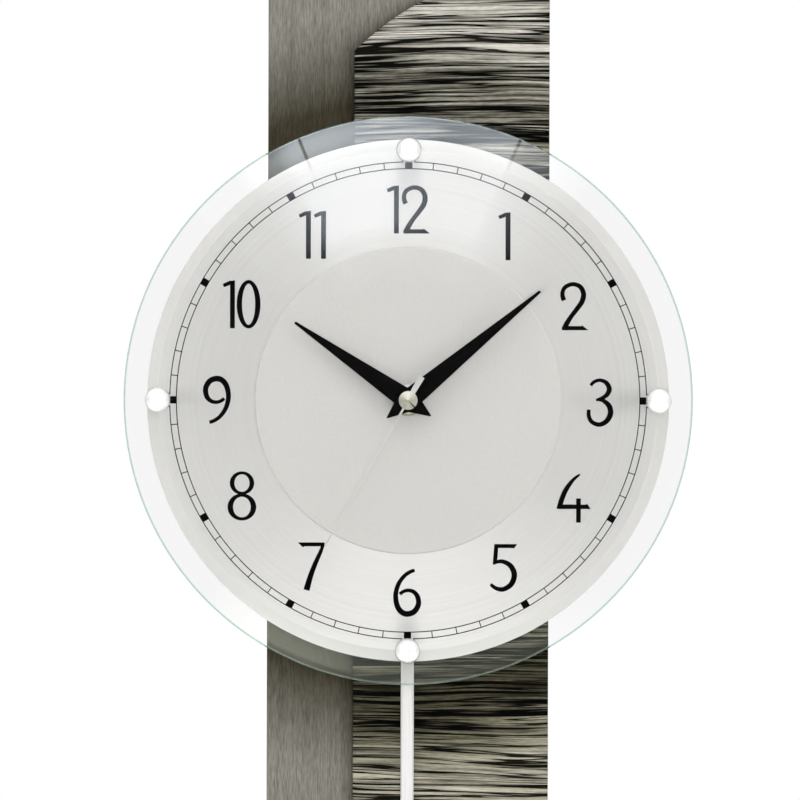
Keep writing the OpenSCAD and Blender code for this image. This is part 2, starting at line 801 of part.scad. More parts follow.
module movement_front_case() color("#1d1d1f") at_dial() difference() {
    union() {
        layer(0, wall) case_outline(0);
        layer(wall - eps, lid_in - wall + eps) difference() {
            case_outline(0);
            case_outline(wall);
        }
        for (y = [-1, 1])
            layer(wall - eps, lid_in - wall) translate([0, bay_mid + y * (bay_h + bay_wall) / 2])
                square([2 * (case_w - wall) + eps, bay_wall], center = true);
        out(case_out - eps) cylinder(h = bush_len + eps, r = bush_r);
        spots(case_screws_at) shaft(wall - eps, lid_in, boss_r);
        spot(reverser_at) shaft(wall - eps, minute_wheel_in - reverser_stud_short, reverser_stud_r);
        spot(time_at) shaft(wall - eps, hour_wheel_in, time_stud_r);
        spot(time_rotor_at) shaft(wall - eps, time_magnet_in - wall_clear, time_rotor_stud_r);
    }
    out(case_out - wall - eps) cylinder(h = bush_len + wall + 2 * eps, r = bush_bore_r);
    spots(case_screws_at) shaft(lid_in - case_screw_len, lid_in + eps, case_screw_r + screw_gap);
    movement_feet(push_gap);
    spot(time_at) shaft(wall - front_hole, hour_wheel_in + eps, pivot_r + shaft_gap);
    spot(time_rotor_at) shaft(wall - front_hole, time_magnet_in, pivot_r + shaft_gap);
}

// Feet of the movement's posts, sunk in the front wall, and the holes they sit in
module movement_feet(gap) {
    spots(plate_posts) shaft(wall - post_foot, wall + eps, post_r + gap);
    spots(stator_posts) shaft(wall - post_foot, wall + eps, peg_post_r + gap);
    layer(wall - post_foot, post_foot + eps) for (x = [-1, 1]) translate([x * saddle_x, antenna_up])
        square([saddle_w + 2 * gap, 2 * antenna_r + wall + 2 * gap], center = true);
}

// Three posts for the gear plate, two under the time motor's stator, and two saddles for the antenna
module movement_posts() color("#e8e4d8") at_dial() difference() {
    union() {
        movement_feet(0);
        spots(plate_posts) shaft(wall, plate_in, post_r);
        spots(stator_posts) shaft(wall, time_stator_in, peg_post_r);
        layer(wall, antenna_in - wall) for (x = [-1, 1]) translate([x * saddle_x, antenna_up])
            square([saddle_w, 2 * antenna_r + wall], center = true);
    }
    spots(plate_posts) shaft(plate_in - plate_screw_hole, plate_in + eps, plate_screw_r + screw_gap);
    translate([0, antenna_up, case_out - antenna_in]) rotate([0, 90, 0])
        cylinder(h = antenna_len, r = antenna_r + screw_gap, center = true);
}

module movement_rear_case() color("#1d1d1f") at_dial() difference() {
    union() {
        layer(lid_in, wall) case_outline(0);
        spots(circuit_posts) shaft(board_in + circuit_t, lid_in + eps, circuit_post_r);
        spots(circuit_posts) shaft(board_in - circuit_peg_proud, lid_in, circuit_peg_r);
        spot([0, pivot_y]) shaft(lid_in - pin_post_len, lid_in + eps, pin_post_r);
        spot([0, pivot_y - magnet_down]) shaft(lid_in - core_len, lid_in + eps, core_r);
        spot(seconds_rotor_at) spots(stator_pegs)
            shaft(seconds_stator_in + stator_t, lid_in + eps, peg_post_r);
    }
    spots(case_screws_at) shaft(lid_in - eps, case_t + eps, case_screw_r + screw_gap);
    layer(lid_in - eps, wall + 2 * eps) translate([0, bay_mid])
        square([2 * (contact_reach + 1), cell_d + 2 * lid_gap], center = true);
    for (p = [[0, 0], idler_at, seconds_rotor_at])
        spot(p) shaft(lid_in - eps, lid_in + rear_hole, pivot_r + shaft_gap);
    spots(button_at) shaft(lid_in - eps, case_t + eps, button_r + loose_gap);
    spot([0, pivot_y]) shaft(lid_in - pin_post_len - eps, case_t + eps, pin_r + push_gap);
}

// Four that close the case from behind, and three that hold the gear plate inside it
module movement_screws() color("#a8a8a4") at_dial() {
    spots(case_screws_at) out(case_rear_out) mirror([0, 0, 1])
        pan_screw(case_screw_r, 1.9 * case_screw_r, 1.1, case_screw_len);
    spots(plate_posts) out(case_out - plate_in - plate_t) mirror([0, 0, 1])
        pan_screw(plate_screw_r, 2 * plate_screw_r, 0.8, plate_t + plate_screw_bite);
}

module dial_washer() color("#c9c9c4") at_dial() out(centre_out) ring(washer_t, washer_r, bush_r + screw_gap);

module centre_nut() color("#c9c9c4") at_dial() out(centre_out + washer_t) difference() {
    cylinder(h = nut_t, r = nut_af / sqrt(3), $fn = 6);
    out(-eps) cylinder(h = nut_t + 2 * eps, r = bush_r + screw_gap);
}

module gear_plate() color("#c8a85a") at_dial() difference() {
    layer(plate_in, plate_t) translate([-plate_w, -plate_down]) square([2 * plate_w, plate_down + plate_up]);
    shaft(plate_in - eps, plate_in + plate_t + eps, rear_cannon_r + shaft_gap);
    for (p = [time_at, time_rotor_at, idler_at, seconds_rotor_at])
        spot(p) shaft(plate_in - eps, plate_in + plate_t + eps, pivot_r + shaft_gap);
    spots(plate_posts) shaft(plate_in - eps, plate_in + plate_t + eps, plate_screw_r + screw_gap);
}

module circuit_board() color("#2f6b3a") at_dial() difference() {
    layer(board_in, circuit_t) translate([circuit_left, circuit_down])
        square([plate_w - circuit_left, plate_up - circuit_down]);
    spots(circuit_posts) shaft(board_in - eps, board_in + circuit_t + eps, circuit_peg_r + screw_gap);
}

// Receiver chip, crystal and capacitor in front of the board, three key switches behind it
module circuit_chips() color("#161616") at_dial() {
    switch_in = board_in + circuit_t;
    spot(chip_at) layer(board_in - chip_t, chip_t) square(chip_w);
    spot(crystal_at) layer(board_in - crystal_t, crystal_t) square(crystal_size);
    spot(capacitor_at) shaft(board_in - capacitor_h, board_in, capacitor_r);
    spots(button_at) layer(switch_in, switch_t) square(switch_w, center = true);
    pin_in = switch_in + switch_t;
    spots(button_at) shaft(pin_in - eps, pin_in + switch_pin_t, switch_pin_r);
}

// A coil wound on a flanged bobbin, its axis along X
module bobbin_coil(len, r, bore) {
    rotate([0, 90, 0]) translate([0, 0, -len / 2]) difference() {
        union() {
            cylinder(h = len, r = r - winding_inset);
            cylinder(h = bobbin_flange, r = r);
            translate([0, 0, len - bobbin_flange]) cylinder(h = bobbin_flange, r = r);
        }
        translate([0, 0, -eps]) cylinder(h = len + 2 * eps, r = bore);
    }
}

// A plate with a hole round the rotor, two legs, and a round core across the legs
module stator(in) {
    difference() {
        layer(in, stator_t) translate([-stator_w, -stator_foot])
            square([2 * stator_w, stator_foot + stator_head]);
        layer(in - eps, stator_t + 2 * eps) {
            circle(magnet_r + rotor_hole_gap);
            translate([stator_leg - stator_w, stator_foot])
                square([2 * (stator_w - stator_leg), stator_head]);
        }
    }
    translate([0, coil_up, case_out - in - stator_t / 2]) rotate([0, 90, 0])
        cylinder(h = 2 * (stator_w - stator_leg) + eps, r = stator_t / 2, center = true);
}

module motor_coil(in) {
    translate([0, coil_up, case_out - in - stator_t / 2])
        bobbin_coil(coil_len, coil_r, stator_t / 2 + screw_gap);
}

module time_stator() color("#8d8f92") at_dial() spot(time_rotor_at) stator(time_stator_in);
module time_coil() color("#b06a35") at_dial() spot(time_rotor_at) motor_coil(time_stator_in);
module seconds_stator() color("#8d8f92") at_dial() spot(seconds_rotor_at) stator(seconds_stator_in);
module seconds_coil() color("#b06a35") at_dial() spot(seconds_rotor_at) motor_coil(seconds_stator_in);

module antenna_rod() color("#3a3836") at_dial() translate([0, antenna_up, case_out - antenna_in])
    rotate([0, 90, 0]) cylinder(h = antenna_len, r = antenna_r, center = true);

module antenna_coil() color("#b06a35") at_dial() translate([0, antenna_up, case_out - antenna_in])
    bobbin_coil(antenna_coil_len, antenna_coil_r, antenna_r + screw_gap);

// Sheet-metal contacts against the bay's end walls, each with a raised face towards the battery
module contact(side, dimple_r) {
    wall_x = case_w - wall;
    spot([0, bay_mid]) out(case_out - cell_in) {
        translate([side > 0 ? wall_x - contact_t : -wall_x, -contact_w / 2, contact_inset - cell_in + wall])
            cube([contact_t, contact_w, 2 * (cell_in - wall - contact_inset)]);
        translate([side * contact_reach, 0, 0]) rotate([0, side * 90, 0])
            cylinder(h = wall_x - contact_reach, r1 = dimple_r, r2 = dimple_r + contact_slope);
    }
}
module contact_plus() color("#c9c9c4") at_dial() contact(1, 3);
module contact_minus() color("#c9c9c4") at_dial() contact(-1, 4);

module battery_cell() color("#c7c9cc") at_dial() translate([-cell_len / 2, bay_mid, case_out - cell_in])
    rotate([0, 90, 0]) {
        cylinder(h = cell_len - nub_len, r = cell_d / 2);
        cylinder(h = cell_len, r = nub_r);
    }

module pendulum_coil() color("#b06a35") at_dial() spot([0, pivot_y - magnet_down]) difference() {
    shaft(lid_in - pendulum_coil_len, lid_in, pendulum_coil_r);
    shaft(lid_in - pendulum_coil_len - eps, lid_in + eps, core_r + screw_gap);
}

module pendulum_pin() color("#c8a85a") at_dial() spot([0, pivot_y]) {
    head_in = case_t + leader_clear + leader_t + pin_play;
    shaft(lid_in - pin_bite, head_in + pin_head_t / 2, pin_r);
    shaft(head_in, head_in + pin_head_t, pin_head_r);
}

// Going train and motion work
module hour_wheel() color("#e8e4d8") at_dial() difference() {
    union() {
        layer(hour_wheel_in, wheel_t) gear(hour_teeth, motion_m, 90);
        out(case_out - hour_wheel_in - eps)
            cylinder(h = hour_front + hour_wheel_in - case_out, r = hour_pipe_r);
    }
    out(case_out - 9) cylinder(h = 60, r = hour_bore_r);
}

module reverser_wheel() color("#e8e4d8") at_dial() spot(reverser_at) difference() {
    union() {
        layer(reverser_in, pinion_h + eps) gear(reverser_leaves, motion_m, -90, gap = true);
        layer(reverser_wheel_in, wheel_t) gear(reverser_teeth, motion_m, -90);
    }
    shaft(wall, minute_wheel_in, reverser_stud_r + shaft_gap);
}

module minute_wheel() color("#c8a85a") at_dial() difference() {
    union() {
        layer(cannon_in, pinion_h) gear(cannon_teeth, motion_m, 90, gap = true);
        layer(minute_wheel_in, wheel_t) crossed_wheel(minute_teeth, train_m, train_turn, wide_hub_r);
        out(case_out - minute_wheel_in) cylinder(h = minute_front + minute_wheel_in - case_out, r = cannon_r);
        shaft(minute_wheel_in, plate_in + plate_t + cannon_reach, rear_cannon_r);
    }
    out(case_out - case_t) cylinder(h = 60, r = cannon_bore_r);
}

module time_wheel() color("#e8e4d8") at_dial() spot(time_at) {
    layer(time_pinion_in, pinion_h + pinion_spare)
        gear(pinion_teeth, train_m, 180 + train_turn, gap = true);
    layer(time_wheel_in, wheel_t) crossed_wheel(time_teeth, train_m, rotor_turn, wheel_hub_r);
    shaft(wall - front_bite, plate_in + plate_t + plate_reach, pivot_r);
}

module rotor(magnet_in, pinion_in, turn, from, to) {
    layer(pinion_in, pinion_h) gear(pinion_teeth, train_m, turn, gap = true);
    shaft(magnet_in, magnet_in + magnet_t, magnet_r);
    shaft(from, to, pivot_r);
}

module time_rotor() color("#55585c") at_dial() spot(time_rotor_at)
    rotor(time_magnet_in, rotor_pinion_in, 180 + rotor_turn, wall - front_bite,
          plate_in + plate_t + plate_reach);

module seconds_wheel() color("#e8e4d8") at_dial() {
    layer(seconds_wheel_in, wheel_t)
        crossed_wheel(seconds_teeth, train_m, 180 - train_turn, wheel_hub_r);
    out(case_out - seconds_wheel_in)
        cylinder(h = second_back + needle_t + seconds_wheel_in - case_out, r = arbor_r);
    shaft(seconds_wheel_in, lid_in + rear_bite, pivot_r);
}

module seconds_idler() color("#e8e4d8") at_dial() spot(idler_at) {
    layer(idler_pinion_in, pinion_h + pinion_spare) gear(idler_leaves, train_m, -train_turn, gap = true);
    layer(idler_wheel_in, wheel_t) crossed_wheel(idler_teeth, train_m, 180 - rotor_turn, wide_hub_r);
    shaft(plate_in - plate_reach, lid_in + rear_bite, pivot_r);
}

module seconds_rotor() color("#55585c") at_dial() spot(seconds_rotor_at)
    rotor(seconds_magnet_in, seconds_pinion_in, -rotor_turn, plate_in - plate_reach, lid_in + rear_bite);

// Hands: a kite outline cut from sheet that is creased along the middle
module kite(len) {
    polygon([
        [hand_tip, len],
        [hand_w, -shoulder],
        [hand_tip, -tail_len],
        [-hand_tip, -tail_len],
        [-hand_w, -shoulder],
        [-hand_tip, len]
    ]);
}

module creased_blade(len) {
    intersection() {
        translate([0, 0, -crease - hand_t]) linear_extrude(crease + hand_t + 1) kite(len);
        translate([0, len + 1, 0]) rotate([90, 0, 0]) linear_extrude(len + tail_len + 2) polygon([
            [0, 0],
            [hand_w, -crease],
            [hand_w, -crease - hand_t],
            [0, -hand_t],
            [-hand_w, -crease - hand_t],
            [-hand_w, -crease]
        ]);
    }
}

module bladed_hand(len, back, front, collet_r, bore_r) {
    difference() {
        union() {
            out(front) creased_blade(len);
            out(back) cylinder(h = front - back - crease / 2, r = collet_r);
        }
        out(back - eps) cylinder(h = front - back + 1, r = bore_r);
    }
}

module hour_hand() color("#0c0c0c") at_dial() rotate(-hour_angle)
    bladed_hand(hour_len, hour_back, hour_front, hour_pipe_r + hour_collet_wall, hour_pipe_r + push_gap);

module minute_hand() color("#0c0c0c") at_dial() rotate(-minute_angle)
    bladed_hand(minute_len, minute_back, minute_front, cannon_r + minute_collet_wall, cannon_r + push_gap);

module second_hand() color("#d8d8d4") at_dial() rotate(-second_angle) difference() {
    union() {
        out(second_back) linear_extrude(needle_t) polygon([
            [needle_tip, second_len],
            [needle_waist, 0],
            [needle_shoulder, 0],
            [needle_tail_w, -needle_tail],
            [-needle_tail_w, -needle_tail],
            [-needle_shoulder, 0],
            [-needle_waist, 0],
            [-needle_tip, second_len]
        ]);
        out(second_back - second_tube_h)
            cylinder(h = second_tube_h + needle_t, r = arbor_r + second_tube_wall);
    }
    out(second_back - second_tube_h - eps)
        cylinder(h = second_tube_h + needle_t + 2 * eps, r = arbor_r + push_gap);
}

module second_cap() color("#d8d8d4") at_dial() out(second_back + needle_t) rotate_extrude() polygon([
    [0, 0],
    [cone_r, 0],
    [cone_r, cone_foot],
    [cone_tip, cone_h],
    [0, cone_h]
]);

// Pendulum, hanging straight down
module pendulum_leader() color("#1d1d1f") at_dial() difference() {
    union() {
        translate([0, pivot_y, rod_out]) cylinder(h = leader_t, r = leader_hub_r);
        translate([-leader_w / 2, pivot_y - peg_down - leader_foot, rod_out])
            cube([leader_w, peg_down + leader_foot, leader_t]);
        translate([0, pivot_y - peg_down, rod_out - rod_t - peg_proud])
            cylinder(h = rod_t + peg_proud + eps, r = peg_r);
    }
    translate([0, pivot_y, rod_out - eps]) cylinder(h = leader_t + 2 * eps, r = pin_r + shaft_gap);
    translate([0, pivot_y - magnet_down, rod_out - eps])
        cylinder(h = leader_t + 2 * eps, r = leader_magnet_r + push_gap);
}

module leader_magnet() color("#9a9c9f") at_dial() translate([0, pivot_y - magnet_down, rod_out])
    cylinder(h = leader_t, r = leader_magnet_r);

// The rod hooks over the leader's peg, and its front edges are chamfered
module pendulum_rod() color("#d6d6d3") at_dial() difference() {
    rod_run = rod_top - bob_y + rod_foot;
    translate([0, rod_top, rod_out - rod_t]) rotate([90, 0, 0]) linear_extrude(rod_run) polygon([
        [-rod_w / 2, 0],
        [rod_w / 2, 0],
        [rod_w / 2, rod_t - rod_chamfer],
        [rod_w / 2 - rod_chamfer, rod_t],
        [rod_chamfer - rod_w / 2, rod_t],
        [-rod_w / 2, rod_t - rod_chamfer]
    ]);
    translate([0, pivot_y - peg_down, rod_out - rod_t - eps])
        cylinder(h = rod_t + 2 * eps, r = peg_r + screw_gap);
}

module bob_disc() color("#cfcfcc") at_dial() translate([0, bob_y, rod_out]) difference() {
    rotate_extrude($fn = round_fn) polygon([
        [0, 0],
        [bob_r, 0],
        [bob_r, bob_t * 0.4],
        [bob_r - bob_t, bob_t],
        [0, bob_t]
    ]);
    for (x = [-1, 1]) translate([x * bob_screw_x, 0, -eps])
        cylinder(h = bob_t * bob_hole_share, r = bob_screw_r + screw_gap);
}

module bob_weight() color("#77787a") at_dial() translate([0, bob_y, rod_out - weight_t]) difference() {
    cylinder(h = weight_t, r = weight_r);
    translate([-rod_w / 2 - weight_play, -weight_r - eps, weight_t - rod_t])
        cube([rod_w + 2 * weight_play, 2 * (weight_r + eps), rod_t + eps]);
    for (x = [-1, 1]) translate([x * bob_screw_x, 0, -eps])
        cylinder(h = weight_t + 2 * eps, r = bob_screw_r + screw_gap);
}

module bob_screws() color("#a8a8a4") at_dial() translate([0, bob_y, rod_out - weight_t])
    for (x = [-1, 1]) translate([x * bob_screw_x, 0, 0]) mirror([0, 0, 1])
        pan_screw(bob_screw_r, bob_screw_r * 1.8, bob_head_h, weight_t + bob_t * bob_bite_share);

// Buttons in the back of the movement
module button(p) {
    spot(p) {
        flange_in = lid_in - button_play;
        shaft(flange_in, case_t + button_proud, button_r);
        shaft(flange_in - button_flange_t, flange_in, button_flange_r);
        shaft(board_in + circuit_t + switch_t + button_gap + button_travel, flange_in - button_flange_t / 2,
              button_stem_r);
    }
}
module set_button() color("#d8d8d4") at_dial() button(button_at[0]);
module wave_button() color("#d8d8d4") at_dial() button(button_at[1]);
module reset_button() color("#b03a2e") at_dial() button(button_at[2]);

backboard();
side_battens();
cross_battens();
hanger_block();
metal_facing();
decor_panel();
hanger_plate();
hanger_screws();
dial_carrier();
carrier_screws();
dial_plate();
centre_disc();
dial_screws();
standoff_sleeves();
standoff_screws();
glass_bushes();
glass_disc();
stud_caps();
movement_gasket();
movement_front_case();
movement_rear_case();
movement_posts();
movement_screws();
dial_washer();
centre_nut();
gear_plate();
circuit_board();
circuit_chips();
time_coil();
time_stator();
seconds_coil();
seconds_stator();
antenna_rod();
antenna_coil();
contact_plus();
contact_minus();
pendulum_coil();
pendulum_pin();
battery_cell();
hour_hand();
hour_wheel();
minute_hand();
minute_wheel();
second_hand();
second_cap();
seconds_wheel();
reverser_wheel();
time_wheel();
time_rotor();
seconds_idler();
seconds_rotor();
pendulum_leader();
leader_magnet();
pendulum_rod();
bob_disc();
bob_weight();
bob_screws();
set_button();
wave_button();
reset_button();
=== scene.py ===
# Looks of the pendulum wall clock: materials, printed dial, glass, light and camera.
# Row frame in metres: X to the right, Y into the wall, Z up, origin at the hanger's hole.
import bpy
import bmesh
import json
import math
from mathutils import Matrix, Vector


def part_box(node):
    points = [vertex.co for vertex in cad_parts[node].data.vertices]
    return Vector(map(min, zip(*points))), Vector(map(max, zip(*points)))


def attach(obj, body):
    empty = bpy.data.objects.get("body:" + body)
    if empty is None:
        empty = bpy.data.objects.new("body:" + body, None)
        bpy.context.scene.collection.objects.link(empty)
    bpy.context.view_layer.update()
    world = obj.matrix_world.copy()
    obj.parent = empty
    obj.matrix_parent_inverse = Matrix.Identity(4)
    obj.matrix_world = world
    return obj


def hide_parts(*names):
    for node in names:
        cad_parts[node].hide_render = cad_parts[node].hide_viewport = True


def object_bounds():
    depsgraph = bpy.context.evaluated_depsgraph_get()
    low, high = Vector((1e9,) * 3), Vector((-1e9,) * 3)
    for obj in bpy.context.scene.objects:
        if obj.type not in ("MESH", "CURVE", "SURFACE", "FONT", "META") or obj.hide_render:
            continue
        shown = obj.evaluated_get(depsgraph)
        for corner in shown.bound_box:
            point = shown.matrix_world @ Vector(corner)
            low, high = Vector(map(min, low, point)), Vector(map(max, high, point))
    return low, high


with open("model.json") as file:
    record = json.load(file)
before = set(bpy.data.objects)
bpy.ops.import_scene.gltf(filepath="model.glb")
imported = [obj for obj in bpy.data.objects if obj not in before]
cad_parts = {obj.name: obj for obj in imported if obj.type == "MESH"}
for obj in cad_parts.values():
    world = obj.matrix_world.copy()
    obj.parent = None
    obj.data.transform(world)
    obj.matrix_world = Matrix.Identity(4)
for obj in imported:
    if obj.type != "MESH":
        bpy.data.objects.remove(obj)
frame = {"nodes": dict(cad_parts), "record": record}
cad_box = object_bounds()

MM = 0.001
# Height of the hands' axis, and the front faces of the dial and the glass
DIAL_Z = -0.225
DIAL_FRONT = -0.072
GLASS_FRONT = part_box("glass_disc")[0][1]
# The decor panel's edges, and the radius of the curves that it ends in
DECOR_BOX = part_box("decor_panel")
DECOR_LEFT = DECOR_BOX[0][0]
DECOR_RIGHT = DECOR_BOX[1][0]
DECOR_TOP = DECOR_BOX[1][2]
DECOR_BOTTOM = DECOR_BOX[0][2]
DECOR_ARC = 0.148

# Camera: the clock is seen square on from three metres, as the photograph's small parallax shows
CAMERA_AWAY = 3.0
CAMERA_ROLL = 0.15
SENSOR_WIDTH = 36
FRAME_WIDTH = 0.4214
FRAME_PX = 800
CENTRE_PX = (408.2, 400.4)
PX = FRAME_WIDTH / FRAME_PX
camera_data = bpy.data.cameras.new("camera")
camera_data.sensor_width = SENSOR_WIDTH
camera_data.lens = SENSOR_WIDTH * CAMERA_AWAY / FRAME_WIDTH
camera_data.clip_end = 50
camera = bpy.data.objects.new("camera", camera_data)
bpy.context.scene.collection.objects.link(camera)
camera_x = (FRAME_PX / 2 - CENTRE_PX[0]) * PX
camera_z = DIAL_Z + (CENTRE_PX[1] - FRAME_PX / 2) * PX
camera.matrix_world = (Matrix.Translation((camera_x, GLASS_FRONT - CAMERA_AWAY, camera_z))
                       @ Matrix.Rotation(math.radians(90), 4, "X")
                       @ Matrix.Rotation(math.radians(CAMERA_ROLL), 4, "Z"))
bpy.context.scene.camera = camera
bpy.context.scene.view_settings.view_transform = "Standard"

# The middle part of a noise, over which colour and gloss run from one end to the other
NOISE_LOW = 0.3
NOISE_HIGH = 0.7


# Small helpers for node materials
def material(name, color, rough, metallic=0.0, **sockets):
    m = bpy.data.materials.new(name)
    m.use_nodes = True
    tree = m.node_tree
    shader = tree.nodes["Principled BSDF"]
    shader.inputs["Base Color"].default_value = (*color, 1)
    shader.inputs["Roughness"].default_value = rough
    shader.inputs["Metallic"].default_value = metallic
    for key, value in sockets.items():
        shader.inputs[key.replace("_", " ")].default_value = value
    return m, tree, shader


def node(tree, kind, **settings):
    n = tree.nodes.new(kind)
    for key, value in settings.items():
        setattr(n, key, value)
    return n


def link(tree, a, b):
    tree.links.new(a, b)


def feed(tree, socket, value):
    """A socket takes a number, a colour or what another socket gives."""
    if isinstance(value, (int, float)):
        socket.default_value = value
    elif isinstance(value, tuple):
        socket.default_value = (*value, 1)
    else:
        link(tree, value, socket)


def coords(tree, scale=(1, 1, 1), move=(0, 0, 0)):
    """Object coordinates in metres, moved and then scaled."""
    place = node(tree, "ShaderNodeTexCoord")
    mapping = node(tree, "ShaderNodeMapping")
    mapping.inputs["Location"].default_value = [m * s for m, s in zip(move, scale)]
    mapping.inputs["Scale"].default_value = scale
    link(tree, place.outputs["Object"], mapping.inputs["Vector"])
    return mapping.outputs["Vector"]


def split(tree, vector):
    """The three parts of a vector."""
    n = node(tree, "ShaderNodeSeparateXYZ")
    link(tree, vector, n.inputs[0])
    return n.outputs


def join(tree, *parts):
    """A vector of three parts."""
    n = node(tree, "ShaderNodeCombineXYZ")
    for socket, value in zip(n.inputs, parts):
        feed(tree, socket, value)
    return n.outputs[0]


def noise(tree, vector, detail=3, rough=0.5):
    n = node(tree, "ShaderNodeTexNoise")
    n.inputs["Scale"].default_value = 1.0
    n.inputs["Detail"].default_value = detail
    n.inputs["Roughness"].default_value = rough
    link(tree, vector, n.inputs["Vector"])
    return n.outputs["Fac"]


def math_node(tree, operation, *values):
    n = node(tree, "ShaderNodeMath", operation=operation)
    for socket, value in zip(n.inputs, values):
        feed(tree, socket, value)
    return n.outputs[0]


def plus(tree, a, b):
    return math_node(tree, "ADD", a, b)


def minus(tree, a, b):
    return math_node(tree, "SUBTRACT", a, b)


def times(tree, a, b):
    return math_node(tree, "MULTIPLY", a, b)


def length_of(tree, a, b):
    """Length of the slope over two sides at right angles."""
    return math_node(tree, "SQRT", plus(tree, times(tree, a, a), times(tree, b, b)))


def spread(tree, value, low, high, from_low=NOISE_LOW, from_high=NOISE_HIGH):
    n = node(tree, "ShaderNodeMapRange")
    n.inputs["From Min"].default_value = from_low
    n.inputs["From Max"].default_value = from_high
    n.inputs["To Min"].default_value = low
    n.inputs["To Max"].default_value = high
    link(tree, value, n.inputs["Value"])
    return n.outputs["Result"]


def ramp(tree, value, stops):
    n = node(tree, "ShaderNodeValToRGB")
    while len(n.color_ramp.elements) < len(stops):
        n.color_ramp.elements.new(0.5)
    for element, (at, color) in zip(n.color_ramp.elements, stops):
        element.position = at
        element.color = (*color, 1)
    link(tree, value, n.inputs["Fac"])
    return n.outputs["Color"]


def tones(tree, fac, dark, light):
    """A colour that runs from dark to light with a noise."""
    return ramp(tree, fac, [(NOISE_LOW, dark), (NOISE_HIGH, light)])


def mix(tree, fac, a, b, blend="MIX"):
    n = node(tree, "ShaderNodeMix", data_type="RGBA", blend_type=blend)
    factor = [s for s in n.inputs if s.type == "VALUE"][0]
    colors = [s for s in n.inputs if s.type == "RGBA"]
    for socket, value in ((factor, fac), (colors[0], a), (colors[1], b)):
        feed(tree, socket, value)
    return [s for s in n.outputs if s.type == "RGBA"][0]


def multiplied(tree, a, b):
    return mix(tree, 1.0, a, b, "MULTIPLY")


def bump(tree, shader, height, depth_mm, crisp=False):
    """With crisp, faces that meet at a slight angle keep a clean edge between them."""
    n = node(tree, "ShaderNodeBump")
    n.inputs["Distance"].default_value = depth_mm * MM
    link(tree, height, n.inputs["Height"])
    if crisp:
        link(tree, node(tree, "ShaderNodeNewGeometry").outputs["True Normal"], n.inputs["Normal"])
    link(tree, n.outputs["Normal"], shader.inputs["Normal"])


def brushed_round(tree, shader):
    """The shine of brushing that runs round the hands' axis."""
    tangent = node(tree, "ShaderNodeTangent", direction_type="RADIAL", axis="Y")
    link(tree, tangent.outputs[0], shader.inputs["Tangent"])


def shade_by(tree, fac, first, second):
    """The surface shows the second shader instead of the first where fac is 1."""
    choose = node(tree, "ShaderNodeMixShader")
    link(tree, fac, choose.inputs[0])
    link(tree, first.outputs[0], choose.inputs[1])
    link(tree, second.outputs[0], choose.inputs[2])
    link(tree, choose.outputs[0], tree.nodes["Material Output"].inputs["Surface"])


def grained(name, dark, light, rough, scale, depth_mm, metallic=0.0, detail=3, rough_play=0.06,
            crisp=False, **sockets):
    """Colour, gloss and surface vary with one noise that can be stretched along an axis."""
    m, tree, shader = material(name, light, rough, metallic, **sockets)
    fac = noise(tree, coords(tree, scale), detail)
    link(tree, tones(tree, fac, dark, light), shader.inputs["Base Color"])
    link(tree, spread(tree, fac, rough + rough_play, rough - rough_play), shader.inputs["Roughness"])
    bump(tree, shader, fac, depth_mm, crisp)
    return m


def srgb(r, g, b):
    return tuple(((c / 255 + 0.055) / 1.055) ** 2.4 if c > 10 else c / 255 / 12.92 for c in (r, g, b))


def from_axis(tree, lift=0.0):
    """A point's place in metres, seen from the hands' axis or from a point above it."""
    return split(tree, coords(tree, move=(0, 0, -DIAL_Z - lift)))


def axis_distance(tree, lift=0.0):
    x, _, z = from_axis(tree, lift)
    return length_of(tree, x, z)


def ring_noise(tree, per_metre, detail):
    """Fine rings about the hands' axis, as circular brushing leaves them."""
    low = noise(tree, coords(tree, (14, 14, 14)), 1)
    return noise(tree, join(tree, times(tree, axis_distance(tree), per_metre), low), detail)


# Distances from the hands' axis over which a look or a painted shade changes
DIAL_SLOPE = (0.1326, 0.1332)
WASHER_EDGE = (0.0068, 0.0076)
GLASS_EDGE = (0.1488, 0.1494)
GLASS_COVER = (0.1495, 0.1515)
DECOR_SHADE_GAMMA = (0.172, 0.198)
DECOR_SHADE_FADES = (0.14, 0.21)
FACING_SHADE_FADES = (0.158, 0.208)
# The facing's painted shade lies round a point this far above the axis
FACING_SHADE_LIFT = 0.005
# Heights over which painted light and shade change, the washer's from the axis, the decor panel's from the
# hanger's hole
WASHER_LIGHT_HEIGHT = (-0.004, 0.005)
DECOR_SHADE_HEIGHT = (-0.26, -0.19)


# Materials
def make_dial():
    """Silver ring brushed in circles, with a duller sloping rim."""
    m, tree, shader = material("dial", srgb(240, 239, 236), 0.34, 0.85, Anisotropic=0.85,
                               Anisotropic_Rotation=0.25)
    rings = ring_noise(tree, 2600, 3)
    sloped = spread(tree, axis_distance(tree), 0.0, 1.0, *DIAL_SLOPE)
    light = tones(tree, rings, srgb(236, 235, 232), srgb(245, 244, 241))
    link(tree, mix(tree, sloped, light, srgb(223, 222, 218)), shader.inputs["Base Color"])
    link(tree, minus(tree, 0.85, times(tree, sloped, 0.5)), shader.inputs["Metallic"])
    rough = plus(tree, spread(tree, rings, 0.38, 0.31), times(tree, sloped, 0.3))
    link(tree, rough, shader.inputs["Roughness"])
    brushed_round(tree, shader)
    bump(tree, shader, rings, 0.006, crisp=True)
    return m


